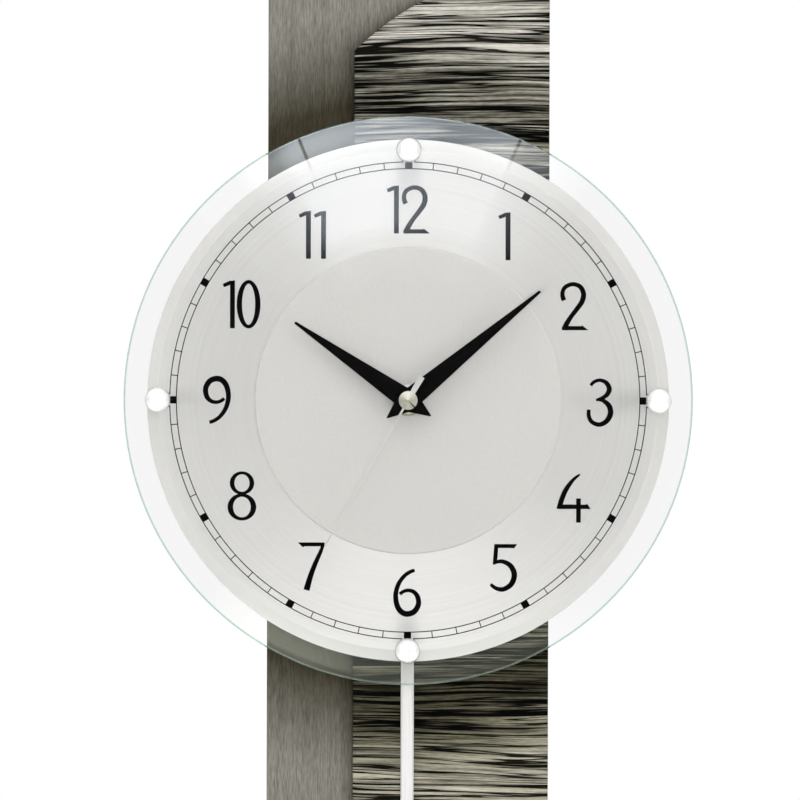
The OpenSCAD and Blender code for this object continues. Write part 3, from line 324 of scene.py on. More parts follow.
def make_cone():
    """Turned metal, with painted highlights and a painted dark reflection streak round its axis."""
    m, tree, shader = material("cone", srgb(222, 220, 212), 0.3, 1.0, Anisotropic=0.4,
                               Anisotropic_Rotation=0.25)
    turned = noise(tree, coords(tree, (3000, 3000, 3000)), 2)
    x, _, z = from_axis(tree)
    angle = math_node(tree, "ARCTAN2", x, z)
    # Painted highlights and a dark painted reflection streak, set by angle round the axis
    painted_reflection_stops = [(0.0, 182), (0.11, 166), (0.17, 184), (0.25, 204), (0.38, 246), (0.5, 255),
              (0.62, 230), (0.75, 208), (0.855, 190), (0.87, 66), (0.889, 66), (0.905, 172), (1.0, 182)]
    around = spread(tree, angle, 0.0, 1.0, -math.pi, math.pi)
    painted_reflection = ramp(tree, around, [(at, srgb(v, v, v - 6)) for at, v in painted_reflection_stops])
    light = tones(tree, turned, srgb(226, 224, 214), srgb(250, 248, 238))
    link(tree, multiplied(tree, light, painted_reflection), shader.inputs["Base Color"])
    link(tree, spread(tree, turned, 0.36, 0.26), shader.inputs["Roughness"])
    brushed_round(tree, shader)
    bump(tree, shader, turned, 0.003)
    return m


def make_washer():
    """Pressed disc behind the hands, with a rolled edge that has a painted highlight above and painted
    shade below, and a face painted a little lighter above than below.
    """
    m, tree, shader = material("washer", srgb(236, 234, 226), 0.42, 0.1)
    grain = noise(tree, coords(tree, (900, 900, 900)), 3)
    # Painted light and shade by height: the top is lit, the bottom shaded
    up = spread(tree, from_axis(tree)[2], 0.0, 1.0, *WASHER_LIGHT_HEIGHT)
    edge = spread(tree, axis_distance(tree), 0.0, 1.0, *WASHER_EDGE)
    face_painted_light = mix(tree, up, srgb(232, 229, 212), srgb(238, 237, 232))
    rolled = mix(tree, up, srgb(172, 168, 142), srgb(252, 252, 248))
    uneven = tones(tree, grain, (0.94, 0.94, 0.93), (1, 1, 1))
    color = multiplied(tree, mix(tree, edge, face_painted_light, rolled), uneven)
    link(tree, color, shader.inputs["Base Color"])
    link(tree, spread(tree, grain, 0.46, 0.38), shader.inputs["Roughness"])
    bump(tree, shader, grain, 0.004)
    return m


def make_decor():
    """Print of streaked wood, with painted shade just outside the glass, deeper below the dial and fading
    away from it.
    """
    m, tree, shader = material("decor", srgb(110, 105, 92), 0.5, 0.0, Specular_IOR_Level=0.03)
    warp = noise(tree, coords(tree, (5, 1, 16)), 2)
    x, _, height = split(tree, coords(tree))
    z = plus(tree, height, spread(tree, warp, -0.003, 0.003))

    def streaks(along, across, shift, detail, rough):
        return noise(tree, join(tree, times(tree, x, along), shift, times(tree, z, across)), detail, rough)

    def cracks(along, across, shift, width):
        """Long thin dark lines, where a stretched noise crosses its middle value."""
        off_middle = math_node(tree, "ABSOLUTE", minus(tree, streaks(along, across, shift, 2, 0.5), 0.5))
        widened = math_node(tree, "DIVIDE", off_middle, width)
        return ramp(tree, widened, [(0.35, (0.002, 0.002, 0.001)), (1.0, (1, 1, 1))])

    mixed = streaks(9, 330, 4.1, 4, 0.7)
    fibres = streaks(240, 1700, 7.7, 2, 0.5)
    color = ramp(tree, mixed, [(0.33, srgb(38, 36, 32)), (0.41, srgb(100, 98, 90)),
                               (0.49, srgb(158, 155, 146)), (0.57, srgb(198, 195, 186)),
                               (0.66, srgb(228, 225, 217))])
    color = mix(tree, 0.7, color, tones(tree, fibres, (0.4, 0.4, 0.39), (1, 1, 0.98)), "MULTIPLY")
    color = multiplied(tree, color, cracks(5, 200, 1.3, 0.055))
    color = multiplied(tree, color, cracks(8, 400, 9.2, 0.05))
    # Painted shade round the glass: darkest just outside its edge, deeper below the dial, fading farther
    # out; the gamma lightens the print away from the dial
    radius = axis_distance(tree)
    painted_shade_gamma = node(tree, "ShaderNodeGamma")
    link(tree, color, painted_shade_gamma.inputs["Color"])
    link(tree, spread(tree, radius, 1.05, 0.6, *DECOR_SHADE_GAMMA), painted_shade_gamma.inputs["Gamma"])
    away = spread(tree, radius, 0.0, 1.0, *DECOR_SHADE_FADES)
    above = ramp(tree, away, [(0.1, (1, 0.99, 0.95)), (0.18, (0.66, 0.65, 0.6)),
                              (0.4, (0.62, 0.61, 0.56)), (0.56, (0.66, 0.65, 0.6)),
                              (0.74, (0.8, 0.78, 0.74)), (0.9, (0.92, 0.9, 0.86))])
    below = ramp(tree, away, [(0.1, (0.6, 0.6, 0.48)), (0.16, (0.17, 0.165, 0.115)),
                              (0.38, (0.17, 0.165, 0.115)), (0.55, (0.32, 0.31, 0.23)),
                              (0.72, (0.52, 0.505, 0.4)), (0.92, (0.72, 0.69, 0.59))])
    lower = spread(tree, height, 1.0, 0.0, *DECOR_SHADE_HEIGHT)
    color = multiplied(tree, painted_shade_gamma.outputs["Color"], mix(tree, lower, above, below))
    link(tree, color, shader.inputs["Base Color"])
    link(tree, spread(tree, mixed, 0.62, 0.45), shader.inputs["Roughness"])
    bump(tree, shader, plus(tree, mixed, times(tree, fibres, 0.3)), 0.05)
    return m


def decor_distance(tree):
    """How far a point of the facing lies outside the decor panel's edge, in centimetres."""
    x, _, z = split(tree, coords(tree))
    outside = minus(tree, DECOR_LEFT, x)
    across = minus(tree, x, DECOR_RIGHT)
    for centre_z, side in ((DECOR_TOP - DECOR_ARC, 1), (DECOR_BOTTOM + DECOR_ARC, -1)):
        rise = math_node(tree, "MAXIMUM", times(tree, minus(tree, z, centre_z), side), 0.0)
        beyond = minus(tree, length_of(tree, rise, across), DECOR_ARC)
        outside = math_node(tree, "MAXIMUM", outside, beyond)
    return times(tree, outside, 100)


def make_facing():
    """Brushed metal, with painted shade near the dial, painted light under the glass and a painted shadow
    along the decor panel's edge.
    """
    m, tree, shader = material("facing", srgb(128, 126, 121), 0.45, 0.4, Anisotropic=0.75,
                               Specular_IOR_Level=0.1)
    fine = noise(tree, coords(tree, (1500, 300, 130)), 3, 0.65)
    broad = noise(tree, coords(tree, (420, 60, 14)), 2)
    both = plus(tree, times(tree, fine, 0.75), times(tree, broad, 0.25))

    def brushed(dark, light):
        return ramp(tree, both, [(0.34, dark), (0.66, light)])

    # Painted shade: dark near the dial, lighter far from it, and lighter again under the glass
    near = brushed(srgb(38, 34, 23), srgb(65, 60, 45))
    far = brushed(srgb(97, 95, 86), srgb(142, 140, 131))
    under_glass_painted_light = brushed(srgb(76, 76, 62), srgb(116, 116, 101))
    near = mix(tree, spread(tree, axis_distance(tree), 1.0, 0.0, *GLASS_COVER), near, under_glass_painted_light)
    away = spread(tree, axis_distance(tree, FACING_SHADE_LIFT), 0.0, 1.0, *FACING_SHADE_FADES)
    # Painted shadow along the decor panel's edge
    painted_shadow_by_decor = ramp(tree, decor_distance(tree), [(0.0, (0.32, 0.32, 0.32)), (0.12, (0.6, 0.59, 0.58)),
                                                 (0.45, (0.86, 0.85, 0.84)), (0.98, (1, 1, 1))])
    link(tree, multiplied(tree, mix(tree, away, near, far), painted_shadow_by_decor), shader.inputs["Base Color"])
    link(tree, spread(tree, both, 0.42, 0.30), shader.inputs["Roughness"])
    bump(tree, shader, fine, 0.02)
    return m


def make_stud():
    """Polished caps, with painted shade on their flanks, where the metal turns away from the room."""
    m, tree, shader = material("stud", srgb(246, 246, 245), 0.28, 0.95)
    fine = noise(tree, coords(tree, (240, 240, 240)), 3)
    normal = node(tree, "ShaderNodeNewGeometry").outputs["Normal"]
    facing = math_node(tree, "ABSOLUTE", split(tree, normal)[1])
    light = tones(tree, fine, srgb(242, 242, 241), srgb(252, 252, 251))
    # Painted shade where the cap's surface turns sideways
    shade = ramp(tree, facing, [(0.2, srgb(150, 150, 148)), (0.4, srgb(214, 214, 212)),
                                (0.5, srgb(252, 252, 252))])
    link(tree, multiplied(tree, light, shade), shader.inputs["Base Color"])
    link(tree, spread(tree, facing, 0.1, 0.95, 0.15, 0.25), shader.inputs["Metallic"])
    link(tree, spread(tree, fine, 0.37, 0.31), shader.inputs["Roughness"])
    bump(tree, shader, fine, 0.001)
    return m


def make_glass():
    """Clear glass with a greenish edge, through which light falls almost unchanged."""
    m, tree, shader = material("glass", (0.99, 0.99, 0.99), 0.0, 0.0, IOR=1.5, Transmission_Weight=1.0)
    edge = spread(tree, axis_distance(tree), 0.0, 1.0, *GLASS_EDGE)
    link(tree, mix(tree, edge, (0.99, 0.99, 0.99), (0.54, 0.69, 0.60)), shader.inputs["Base Color"])
    link(tree, minus(tree, 1.0, times(tree, edge, 0.1)), shader.inputs["Transmission Weight"])
    x, y, z = split(tree, node(tree, "ShaderNodeNewGeometry").outputs["True Normal"])
    level = minus(tree, 1.0, times(tree, edge, 0.97))
    straight = node(tree, "ShaderNodeVectorMath", operation="NORMALIZE")
    link(tree, join(tree, times(tree, x, level), y, times(tree, z, level)), straight.inputs[0])
    link(tree, straight.outputs[0], shader.inputs["Normal"])
    haze = noise(tree, coords(tree, (60, 60, 60)), 2)
    link(tree, spread(tree, haze, 0.0, 0.002), shader.inputs["Roughness"])
    clear = node(tree, "ShaderNodeBsdfTransparent")
    clear.inputs[0].default_value = (0.96, 0.96, 0.96, 1)
    shadow_ray = node(tree, "ShaderNodeLightPath").outputs["Is Shadow Ray"]
    shade_by(tree, shadow_ray, shader, clear)
    return m


LOOKS = {
    "board": grained("board", srgb(28, 27, 25), srgb(44, 43, 40), 0.78, (900, 900, 900), 0.03, detail=4),
    "facing": make_facing(),
    "decor": make_decor(),
    "steel": grained("steel", srgb(150, 150, 148), srgb(196, 196, 193), 0.32, (1400, 900, 300), 0.01,
                     0.95),
    "carrier": grained("carrier", srgb(24, 23, 22), srgb(38, 37, 35), 0.75, (900, 900, 900), 0.03,
                       detail=4),
    "dial": make_dial(),
    "centre": grained("centre", srgb(203, 201, 197), srgb(210, 208, 204), 0.5, (700, 700, 700), 0.004,
                      0.15, crisp=True),
    "stud": make_stud(),
    "soft": grained("soft", srgb(214, 214, 208), srgb(226, 226, 221), 0.5, (600, 600, 600), 0.01),
    "glass": make_glass(),
    "rubber": grained("rubber", srgb(18, 18, 18), srgb(30, 30, 30), 0.85, (1500, 1500, 1500), 0.02),
    "case": grained("case", srgb(16, 16, 17), srgb(26, 26, 28), 0.55, (2200, 2200, 2200), 0.02,
                    detail=4),
    "brass": grained("brass", srgb(178, 146, 84), srgb(206, 176, 112), 0.3, (1200, 400, 300), 0.006,
                     1.0),
    "circuit": grained("circuit", srgb(22, 84, 42), srgb(34, 110, 56), 0.4, (900, 900, 900), 0.01),
    "chips": grained("chips", srgb(14, 14, 15), srgb(28, 28, 30), 0.4, (1800, 1800, 1800), 0.01),
    "copper": grained("copper", srgb(140, 70, 34), srgb(198, 116, 66), 0.3, (9000, 120, 120), 0.06,
                      0.9),
    "stator": grained("stator", srgb(120, 121, 124), srgb(156, 157, 160), 0.38, (1500, 200, 400), 0.01,
                      0.95),
    "ferrite": grained("ferrite", srgb(38, 37, 35), srgb(62, 60, 57), 0.7, (1600, 1600, 1600), 0.03),
    "cell": grained("cell", srgb(176, 178, 181), srgb(204, 206, 209), 0.28, (120, 900, 900), 0.004,
                    0.9),
    "hands": grained("hands", srgb(2, 2, 2), srgb(6, 6, 6), 0.4, (1200, 1200, 1200), 0.004,
                     crisp=True, Specular_IOR_Level=0.03),
    "silver": grained("silver", srgb(203, 202, 200), srgb(213, 212, 210), 0.45, (2400, 700, 60), 0.006,
                      0.2),
    "acetal": grained("acetal", srgb(222, 218, 204), srgb(236, 232, 220), 0.45, (900, 900, 900), 0.006),
    "magnet": grained("magnet", srgb(100, 102, 106), srgb(140, 142, 146), 0.35, (1400, 1400, 1400),
                      0.01, 0.9),
    "weight": grained("weight", srgb(120, 120, 121), srgb(152, 152, 153), 0.5, (420, 420, 420), 0.03,
                      0.9),
    "key": grained("key", srgb(204, 204, 200), srgb(220, 220, 216), 0.45, (1500, 1500, 1500), 0.01),
    "key_red": grained("key_red", srgb(166, 36, 26), srgb(192, 52, 40), 0.45, (1500, 1500, 1500), 0.01),
}
NODE_LOOKS = {
    "second_hand": grained("needle", srgb(206, 205, 201), srgb(217, 216, 212), 0.4, (2400, 700, 60),
                           0.003, 0.4),
    "second_cap": make_cone(),
    "dial_washer": make_washer(),
    "standoff_sleeves": grained("sleeve", srgb(206, 206, 207), srgb(228, 228, 228), 0.12,
                                (260, 1600, 260), 0.002, 1.0, rough_play=0.04),
}
for part in frame["record"]["subparts"]:
    mesh = frame["nodes"][part["node"]].data
    mesh.materials.clear()
    mesh.materials.append(NODE_LOOKS.get(part["node"], LOOKS[part["material_slot"]]))
ink, ink_tree, ink_shader = material("ink", srgb(12, 12, 12), 0.6, Specular_IOR_Level=0.02)
ink_grain = noise(ink_tree, coords(ink_tree, (2500, 2500, 2500)), 3)
link(ink_tree, tones(ink_tree, ink_grain, srgb(2, 2, 2), srgb(8, 8, 8)), ink_shader.inputs["Base Color"])
bump(ink_tree, ink_shader, ink_grain, 0.004)


def piece_of(name, bm, look):
    """A new piece from faces, with its outsides turned outward."""
    bmesh.ops.recalc_face_normals(bm, faces=bm.faces)
    mesh = bpy.data.meshes.new(name)
    bm.to_mesh(mesh)
    bm.free()
    obj = bpy.data.objects.new(name, mesh)
    bpy.context.scene.collection.objects.link(obj)
    mesh.materials.append(look)
    return obj


def bridge(bm, a, b):
    """Four faces between two rows of four points."""
    for i in range(4):
        j = (i + 1) % 4
        bm.faces.new((a[i], a[j], b[j], b[i]))


# Printed dial. Numerals are drawn with a broad pen, in units of which their height has 48
GLYPH_H = 48.0
UNIT = 0.5317 * MM
PRINT_T = 0.05 * MM
# Strokes that cross lie a hair apart in depth
PRINT_STEP = 0.002 * MM
PRINT_LEVELS = 7
PEN_WEIGHT = 1.07
CURVE_STEPS = 7
OVAL_STEPS = 40


def curve_through(points):
    """Points of a smooth curve through (x, y, width) stations."""
    last = len(points) - 1
    out = []
    for i in range(last):
        p0, p1, p2, p3 = (Vector(points[min(max(i + k, 0), last)]) for k in (-1, 0, 1, 2))
        for s in range(CURVE_STEPS):
            t = s / CURVE_STEPS
            out.append(0.5 * (2 * p1 + (p2 - p0) * t + (2 * p0 - 5 * p1 + 4 * p2 - p3) * t * t
                              + (3 * p1 - p0 - 3 * p2 + p3) * t ** 3))
    out.append(Vector(points[-1]))
    return out


def stroke(line, closed=False):
    """Left and right edge of a pen stroke along (x, y, width) points, as two lists."""
    left, right = [], []
    for i, p in enumerate(line):
        before = line[i - 1] if i or closed else p
        after = line[(i + 1) % len(line)] if i + 1 < len(line) or closed else p
        along = (after - before).to_2d().normalized()
        side = Vector((-along.y, along.x)) * p.z * PEN_WEIGHT / 2
        left.append(p.to_2d() + side)
        right.append(p.to_2d() - side)
    if closed:
        left.append(left[0])
        right.append(right[0])
    return left, right


def pen(points):
    return stroke(curve_through(points))


def oval(cx, cy, rx, ry, side_w, end_w):
    """Closed stroke round an oval, wide at its sides and thin at top and bottom."""
    out = []
    for i in range(OVAL_STEPS):
        a = 2 * math.pi * i / OVAL_STEPS
        width = end_w + (side_w - end_w) * math.cos(a) ** 2
        out.append(Vector((cx + rx * math.cos(a), cy + ry * math.sin(a), width)))
    return stroke(out, closed=True)


def block(*corners):
    """A straight-edged shape, given as left and right edges of equal length."""
    half = len(corners) // 2
    return [Vector(c) for c in corners[:half]], [Vector(c) for c in corners[half:]]


def glyph(digit):
    """Strokes of a digit, and its width, in units from its lower left corner."""
    if digit == "0":
        return [oval(11.7, 24.1, 9.25, 22.4, 5.0, 3.5)], 23.4
    if digit == "1":
        return [block((8.3, 0), (8.3, 47.2), (13.2, 0), (13.2, 48)),
                pen([(1.6, 42.6, 3.2), (4.6, 43.9, 3.5), (9.6, 46.1, 3.6)])], 13.2
    if digit == "2":
        bowl = [(3.6, 29.8, 4.6), (2.3, 33.0, 4.3), (1.9, 37.4, 3.9), (4.4, 42.8, 3.9), (11.8, 46.0, 3.9),
                (19.4, 43.6, 4.3), (22.9, 36.8, 4.8), (21.6, 29.0, 4.8), (16.4, 21.2, 4.4),
                (11.0, 14.2, 4.2), (6.6, 7.2, 4.7), (3.4, 0.6, 5.2)]
        return [pen(bowl),
                block((1.0, 0), (20.6, 0), (27.9, 0), (3.4, 4.2), (20.9, 4.1), (21.6, 4.9))], 28.0
    if digit == "3":
        top = [(4.0, 41.2, 3.0), (7.4, 44.9, 3.2), (13.2, 46.6, 3.3), (19.6, 44.0, 4.2), (22.6, 37.6, 4.7),
               (19.8, 31.6, 4.2), (14.2, 28.2, 3.2), (9.4, 26.7, 2.4)]
        low = [(9.4, 26.8, 2.0), (16.0, 26.4, 3.6), (22.2, 21.2, 4.8), (23.9, 13.6, 5.2), (20.2, 6.0, 4.8),
               (12.9, 2.2, 4.2), (5.4, 4.8, 4.0), (2.2, 10.8, 3.8), (2.2, 17.2, 3.4)]
        return [pen(top), pen(low)], 27.0
    if digit == "4":
        sweep = [(23.6, 48.2, 1.7), (19.4, 45.2, 2.7), (14.4, 40.0, 3.7), (9.2, 32.2, 4.6),
                 (5.2, 22.6, 4.8), (2.9, 14.0, 5.2)]
        return [pen(sweep),
                block((0.2, 13.6), (30.0, 13.6), (34.4, 13.6), (2.6, 18.2), (29.6, 18.0), (30.8, 18.9)),
                block((19.8, 0), (19.8, 24.2), (24.5, 0), (24.5, 24.2))], 34.4
    if digit == "5":
        bowl = [(4.6, 27.2, 1.4), (8.4, 29.6, 3.2), (14.2, 29.8, 4.0), (21.6, 25.6, 4.8), (25.3, 17.0, 5.3),
                (22.4, 7.6, 5.0), (14.6, 2.3, 4.5), (7.0, 3.2, 3.8), (1.6, 7.2, 3.0)]
        return [block((5.1, 47.4), (24.0, 47.4), (28.1, 47.4), (5.1, 43.4), (24.2, 43.4), (25.0, 43.0)),
                block((5.2, 47), (3.6, 26.6), (9.4, 47), (8.0, 28.6)), pen(bowl)], 28.1
    if digit == "6":
        curl = [(21.6, 46.2, 3.2), (17.5, 44.9, 3.5), (11.2, 40.6, 3.7), (5.4, 32.4, 4.1), (2.6, 21.5, 4.6),
                (4.2, 10.8, 5.0), (8.6, 4.5, 5.3), (14.6, 2.6, 5.4), (21.4, 5.2, 5.2), (25.4, 12.4, 5.0),
                (24.4, 20.0, 4.6), (20.4, 24.8, 3.9), (14.6, 26.2, 3.4), (9.6, 24.6, 3.2), (6.8, 22.3, 3.4)]
        return [pen(curl)], 28.0
    if digit == "7":
        leg = [(25.6, 45.8, 2.8), (22.8, 38.4, 3.6), (17.4, 26.2, 4.4), (12.8, 14.0, 5.0), (8.8, 0, 5.9)]
        return [block((0, 47.7), (5.0, 47.7), (27.3, 47.7), (5.3, 42.6), (6.6, 43.8), (26.0, 43.8)),
                pen(leg)], 27.3
    if digit == "8":
        return [oval(14.1, 37.4, 9.9, 10.2, 4.4, 2.7), oval(14.1, 13.4, 11.6, 11.9, 5.2, 3.0)], 28.0
    strokes, width = glyph("6")
    turned = [[[Vector((width - p.x, GLYPH_H - p.y)) for p in edge] for edge in pair] for pair in strokes]
    return turned, width


def print_on_dial(name, strokes):
    """One mesh of flat prisms on the dial. Each stroke is a pair of edges in metres."""
    bm = bmesh.new()
    for k, (left, right) in enumerate(strokes):
        front = DIAL_FRONT - PRINT_T - k % PRINT_LEVELS * PRINT_STEP
        rows = []
        for l, r in zip(left, right):
            rows.append([bm.verts.new((p.x, y, DIAL_Z + p.y)) for p, y in
                         ((l, front), (r, front), (r, DIAL_FRONT), (l, DIAL_FRONT))])
        for a, b in zip(rows, rows[1:]):
            bridge(bm, a, b)
        bm.faces.new(rows[0])
        bm.faces.new(rows[-1][::-1])
    obj = piece_of(name, bm, ink)
    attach(obj, "case")


NUMERAL_R = 101.9 * MM
PAIR_GAP = {"0": 2.0, "1": 1.9, "2": 3.2}
# The print isn't quite even: each numeral's way from its place on the circle, in millimetres
NUMERAL_OFF = {1: (-0.30, -0.85), 2: (0.05, -0.65), 3: (0.15, -1.0), 4: (-0.20, -1.0), 5: (-0.25, -0.40),
               6: (-0.30, -0.20), 7: (-0.25, 0.05), 8: (0.0, -0.30), 9: (0.35, -0.05), 10: (-0.70, -0.10),
               11: (-0.45, -0.35), 12: (-0.40, -0.40)}
for hour in range(1, 13):
    edges, cursor = [], 0.0
    for k, digit in enumerate(str(hour)):
        strokes, width = glyph(digit)
        if k:
            cursor += PAIR_GAP[digit]
        edges += [[[p + Vector((cursor, 0)) for p in edge] for edge in pair] for pair in strokes]
        cursor += width
    turn = math.radians(30 * hour)
    middle = Vector((math.sin(turn), math.cos(turn))) * NUMERAL_R + Vector(NUMERAL_OFF[hour]) * MM
    corner = Vector((cursor / 2, GLYPH_H / 2))
    print_on_dial(f"numeral_{hour}", [[[middle + (p - corner) * UNIT for p in edge] for edge in pair]
                                      for pair in edges])

TRACK_IN = 123.15 * MM
TRACK_OUT = 126.7 * MM
LINE_W = 0.5 * MM
HOUR_LINE_W = 3.9 * MM


def arc(radius, width, start, end, steps):
    """Edges of a band that runs round the dial between two angles, clockwise from twelve."""
    inner, outer = [], []
    for i in range(steps + 1):
        a = start + (end - start) * i / steps
        way = Vector((math.sin(a), math.cos(a)))
        inner.append(way * (radius - width / 2))
        outer.append(way * (radius + width / 2))
    return inner, outer


track = [arc(radius, LINE_W, 0, 2 * math.pi, 240) for radius in (TRACK_IN, TRACK_OUT)]
for minute in range(60):
    middle_r = (TRACK_IN + TRACK_OUT) / 2
    half = (HOUR_LINE_W if minute % 5 == 0 else LINE_W) / 2 / middle_r
    width = TRACK_OUT - TRACK_IN + LINE_W
    track.append(arc(middle_r, width, math.radians(6 * minute) - half, math.radians(6 * minute) + half, 2))
print_on_dial("minute_track", track)


# Hour and minute hand, cut from creased sheet, with blunt tips and a collet behind
HAND_W = 5.8
HAND_TIP = 0.7
HAND_TAIL_TIP = 0.3
HAND_TAIL = 14.6
HAND_SHOULDER = 1.8
HAND_T = 0.5
CREASE = 0.7
# How far the blunt tip falls back at its two corners, and where the inner one lies in its half width
TIP_FALL_INNER = 0.08
TIP_FALL_OUTER = 0.4
TIP_INNER = 0.55
TOLERANCE = 1e-6
PARALLEL = 1e-9


def outline_reach(corners, direction):
    """How far a ray from the axis runs before it leaves the outline."""
    reach = 0.0
    for a, b in zip(corners, corners[1:] + corners[:1]):
        edge = b - a
        across = direction.x * edge.y - direction.y * edge.x
        if abs(across) > PARALLEL:
            t = (a.x * edge.y - a.y * edge.x) / across
            u = (a.x * direction.y - a.y * direction.x) / across
            if t > 0 and -TOLERANCE <= u <= 1 + TOLERANCE:
                reach = max(reach, t)
    return reach


def hand(name, stands_for, body, length, angle, back, front, collet_r, bore_r):
    """Sizes are in millimetres, back and front from the wall. The angle is clockwise from twelve."""
    side = [(0.0, length), (TIP_INNER * HAND_TIP, length - TIP_FALL_INNER),
            (HAND_TIP, length - TIP_FALL_OUTER), (HAND_W, -HAND_SHOULDER),
            (HAND_TAIL_TIP, -HAND_TAIL), (0.0, -HAND_TAIL)]
    corners = [Vector(p) for p in side] + [Vector((-x, y)) for x, y in side[-2:0:-1]]
    corner_angles = {round(math.atan2(p.x, p.y), 5) for p in corners}
    even_angles = {round(math.radians(9 * k), 5) for k in range(-19, 21)}
    turn = math.radians(angle)

    def place(across, along, out_by):
        return Vector((along * math.sin(turn) + across * math.cos(turn), -out_by,
                       DIAL_Z / MM + along * math.cos(turn) - across * math.sin(turn))) * MM

    bm = bmesh.new()
    blade, collet = [], []
    for a in sorted(corner_angles | even_angles):
        way = Vector((math.sin(a), math.cos(a)))
        far = way * outline_reach(corners, way)
        near = way * bore_r
        row = []
        for p, sunk in ((near, 0), (far, 0), (far, HAND_T), (near, HAND_T)):
            row.append(bm.verts.new(place(p.x, p.y, front - abs(p.x) * CREASE / HAND_W - sunk)))
        blade.append(row)
        rim = way * collet_r
        collet.append([bm.verts.new(place(p.x, p.y, out_by)) for p, out_by in
                       ((near, front - CREASE), (rim, front - CREASE), (rim, back), (near, back))])
    for rows in (blade, collet):
        for a, b in zip(rows, rows[1:] + rows[:1]):
            bridge(bm, a, b)
    obj = piece_of(name, bm, LOOKS["hands"])
    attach(obj, body)
    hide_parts(stands_for)


hand("hour_blade", "hour_hand", "hour", length=73.0, angle=304.4, back=78.5, front=81.3,
     collet_r=4.2, bore_r=2.52)
hand("minute_blade", "minute_hand", "minute", length=90.8, angle=50.3, back=82.5, front=85.2,
     collet_r=3.2, bore_r=1.57)

# Light, world and floor
CENTRE = Vector((0, -0.07, DIAL_Z))


def softbox(name, place, size, power):
    """A rectangular lamp turned to the dial. Its place is counted from the dial's middle."""
    data = bpy.data.lights.new(name, "AREA")
    data.shape = "RECTANGLE"
    data.size = size[0]
    data.size_y = size[1]
    data.energy = power
    lamp = bpy.data.objects.new(name, data)
    bpy.context.scene.collection.objects.link(lamp)
    lamp.location = CENTRE + Vector(place)
    lamp.rotation_euler = (CENTRE - (CENTRE + Vector(place))).to_track_quat("-Z", "Y").to_euler()
    lamp.visible_camera = False
    lamp.visible_transmission = False
    return lamp


ABOVE = (0, -1.6, 1.9)
BELOW = (0, -1.6, -1.9)
softbox("softbox_top", ABOVE, (2.0, 1.6), 16)
softbox("softbox_left", (-2.0, -1.6, 0.2), (1.2, 1.8), 8)
softbox("softbox_right", (2.0, -1.6, 0.2), (1.2, 1.8), 12)
softbox("softbox_low", BELOW, (2.0, 1.6), 15)
softbox("sheen_top", ABOVE, (2.0, 1.6), 11.5).visible_diffuse = False
softbox("sheen_low", BELOW, (2.0, 1.6), 13.5).visible_diffuse = False
softbox("softbox_front", (0, -2.2, 0.05), (0.5, 0.5), 25).visible_glossy = False
softbox("light_behind", (0, 1.4, 0.8), (2.0, 2.0), 14)

# Softbox panels beyond the camera's view, seen only as reflections near the glass edge
PANEL_AWAY = 1.5
PANEL_GROWS = 1 + PANEL_AWAY / CAMERA_AWAY
PANEL_IN = 0.05 * PANEL_GROWS
PANEL_OUT = 0.17 * PANEL_GROWS
PANEL_HALF = 48
PANEL_STEPS = 24
# A rib between two panes: half its width as an angle, and the radii over which it darkens
RIB_HALF = (0.003, 0.009)
RIB_DARKENS = (0.125, 0.138)


def greys(stops):
    return [(at, (level, level, level)) for at, level in stops]


def softbox_panel(name, middle_deg, strength, tint, sector, fade, ribs=()):
    """A part of a ring about the hands' axis. Sector's stops run over the angle, fade's over the radius."""
    rows = []
    for k in range(PANEL_STEPS + 1):
        a = math.radians(middle_deg - PANEL_HALF + 2 * PANEL_HALF * k / PANEL_STEPS)
        for r in (PANEL_IN, PANEL_OUT):
            rows.append((r * math.sin(a), GLASS_FRONT - PANEL_AWAY, DIAL_Z + r * math.cos(a)))
    mesh = bpy.data.meshes.new(name)
    mesh.from_pydata(rows, [], [(2 * k, 2 * k + 1, 2 * k + 3, 2 * k + 2) for k in range(PANEL_STEPS)])
    panel = bpy.data.objects.new(name, mesh)
    bpy.context.scene.collection.objects.link(panel)
    panel.visible_camera = False
    panel.visible_diffuse = False
    panel.visible_transmission = False
    panel.visible_shadow = False
    lit = bpy.data.materials.new(name)
    lit.use_nodes = True
    tree = lit.node_tree
    tree.nodes.clear()
    x, _, z = from_axis(tree)
    angle = math_node(tree, "ARCTAN2", x, math_node(tree, "ABSOLUTE", z))
    radius = math_node(tree, "DIVIDE", axis_distance(tree), PANEL_GROWS)
    color = ramp(tree, spread(tree, angle, 0.0, 1.0, -1.0, 1.0), greys(sector))
    for at in ribs:
        off_rib = math_node(tree, "ABSOLUTE", minus(tree, angle, at))
        rib = spread(tree, off_rib, 1.0, 0.0, *RIB_HALF)
        outer = spread(tree, radius, 0.15, 0.9, *RIB_DARKENS)
        color = mix(tree, times(tree, rib, outer), color, (0.05, 0.05, 0.05))
    color = multiplied(tree, color, ramp(tree, radius, greys(fade)))
    glow = node(tree, "ShaderNodeEmission")
    link(tree, multiplied(tree, color, tint), glow.inputs["Color"])
    glow.inputs["Strength"].default_value = strength
    output = node(tree, "ShaderNodeOutputMaterial")
    link(tree, glow.outputs[0], output.inputs["Surface"])
    mesh.materials.append(lit)


softbox_panel("panel_high", 0, 10.5, (0.82, 0.90, 1.0),
              [(0.17, 0.05), (0.22, 0.35), (0.25, 0.5), (0.285, 1.0), (0.36, 0.95), (0.5, 0.85),
               (0.57, 0.6), (0.70, 0.7), (0.72, 0.4), (0.80, 0.15), (0.86, 0.0)],
              [(0.06, 0.0), (0.085, 0.15), (0.095, 0.45), (0.125, 0.45), (0.133, 0.55), (0.139, 1.0)],
              (-0.390, 0.414))
softbox_panel("panel_low", 180, 4.1, (0.94, 1.0, 0.88),
              [(0.1, 0.0), (0.22, 0.66), (0.31, 0.62), (0.37, 0.42), (0.46, 0.32), (0.75, 0.26),
               (0.9, 0.0)],
              [(0.126, 0.0), (0.140, 1.0)])

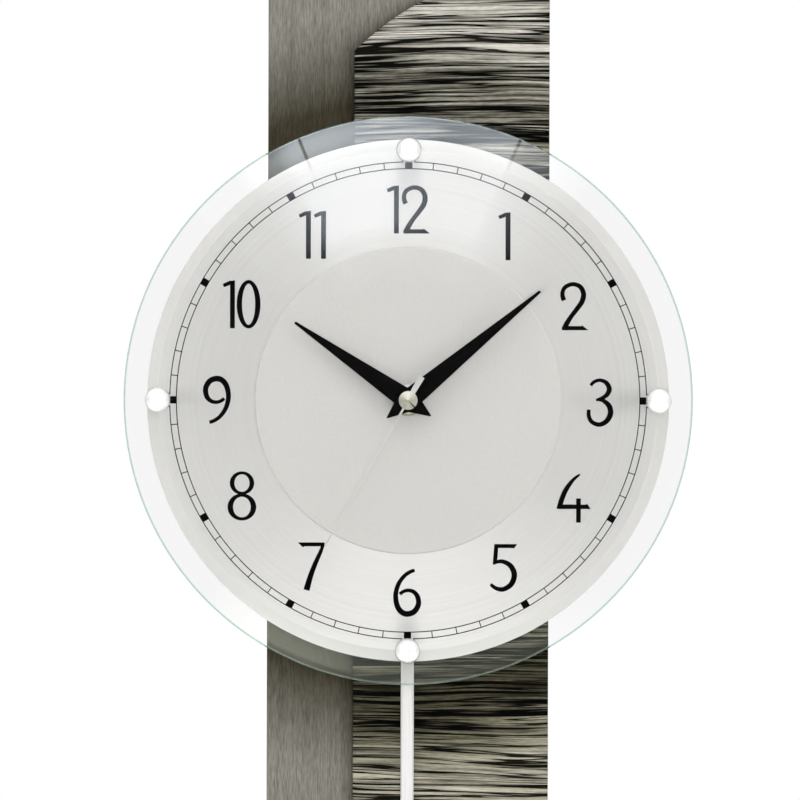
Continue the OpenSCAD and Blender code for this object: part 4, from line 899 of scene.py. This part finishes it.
# The room that metal and glass mirror is light above and below, dark straight ahead, white behind
AMBIENT = 0.25
ROOM_HEIGHT = (0.08, 0.55)
DARK_AHEAD = (-0.9976, -0.985)
BACK_WALL = (-0.1, 0.1)
world = bpy.data.worlds.new("studio")
bpy.context.scene.world = world
world.use_nodes = True
sky = world.node_tree
background = sky.nodes["Background"]
background.inputs["Color"].default_value = (1, 1, 1, 1)
ray = node(sky, "ShaderNodeLightPath").outputs
_, depth, up = split(sky, node(sky, "ShaderNodeTexCoord").outputs["Generated"])
around = spread(sky, math_node(sky, "ABSOLUTE", up), 0.75, 1.15, *ROOM_HEIGHT)
dark_spot = spread(sky, depth, 0.03, 1.0, *DARK_AHEAD)
behind = spread(sky, depth, 0.0, 1.0, *BACK_WALL)
glossy = math_node(sky, "MAXIMUM", times(sky, around, dark_spot), behind)
mirrored = math_node(sky, "MINIMUM", ray["Glossy Depth"], 1.0)
mirrored = math_node(sky, "MAXIMUM", mirrored, ray["Is Glossy Ray"])
direct = minus(sky, 1.0, mirrored)
seen = math_node(sky, "MAXIMUM", ray["Is Camera Ray"], times(sky, ray["Is Transmission Ray"], direct))
ambient = plus(sky, times(sky, glossy, mirrored), times(sky, direct, AMBIENT))
link(sky, math_node(sky, "MAXIMUM", ambient, seen), background.inputs["Strength"])

# A floor that hides nothing from a camera below it
FLOOR_HALF = 4
FLOOR_DROP = 0.25
floor_z = cad_box[0][2] - FLOOR_DROP
floor_mesh = bpy.data.meshes.new("floor")
floor_corners = [(-FLOOR_HALF, -FLOOR_HALF), (FLOOR_HALF, -FLOOR_HALF), (FLOOR_HALF, FLOOR_HALF),
                 (-FLOOR_HALF, FLOOR_HALF)]
floor_mesh.from_pydata([(x, y, floor_z) for x, y in floor_corners], [], [(0, 1, 2, 3)])
floor = bpy.data.objects.new("floor", floor_mesh)
bpy.context.scene.collection.objects.link(floor)
floor_look = grained("floor", (0.80, 0.80, 0.80), (0.84, 0.84, 0.84), 0.7, (30, 30, 30), 0.01)
floor_tree = floor_look.node_tree
camera_ray = node(floor_tree, "ShaderNodeLightPath").outputs["Is Camera Ray"]
back_face = node(floor_tree, "ShaderNodeNewGeometry").outputs["Backfacing"]
shade_by(floor_tree, times(floor_tree, back_face, camera_ray), floor_tree.nodes["Principled BSDF"],
         node(floor_tree, "ShaderNodeBsdfTransparent"))
floor_mesh.materials.append(floor_look)
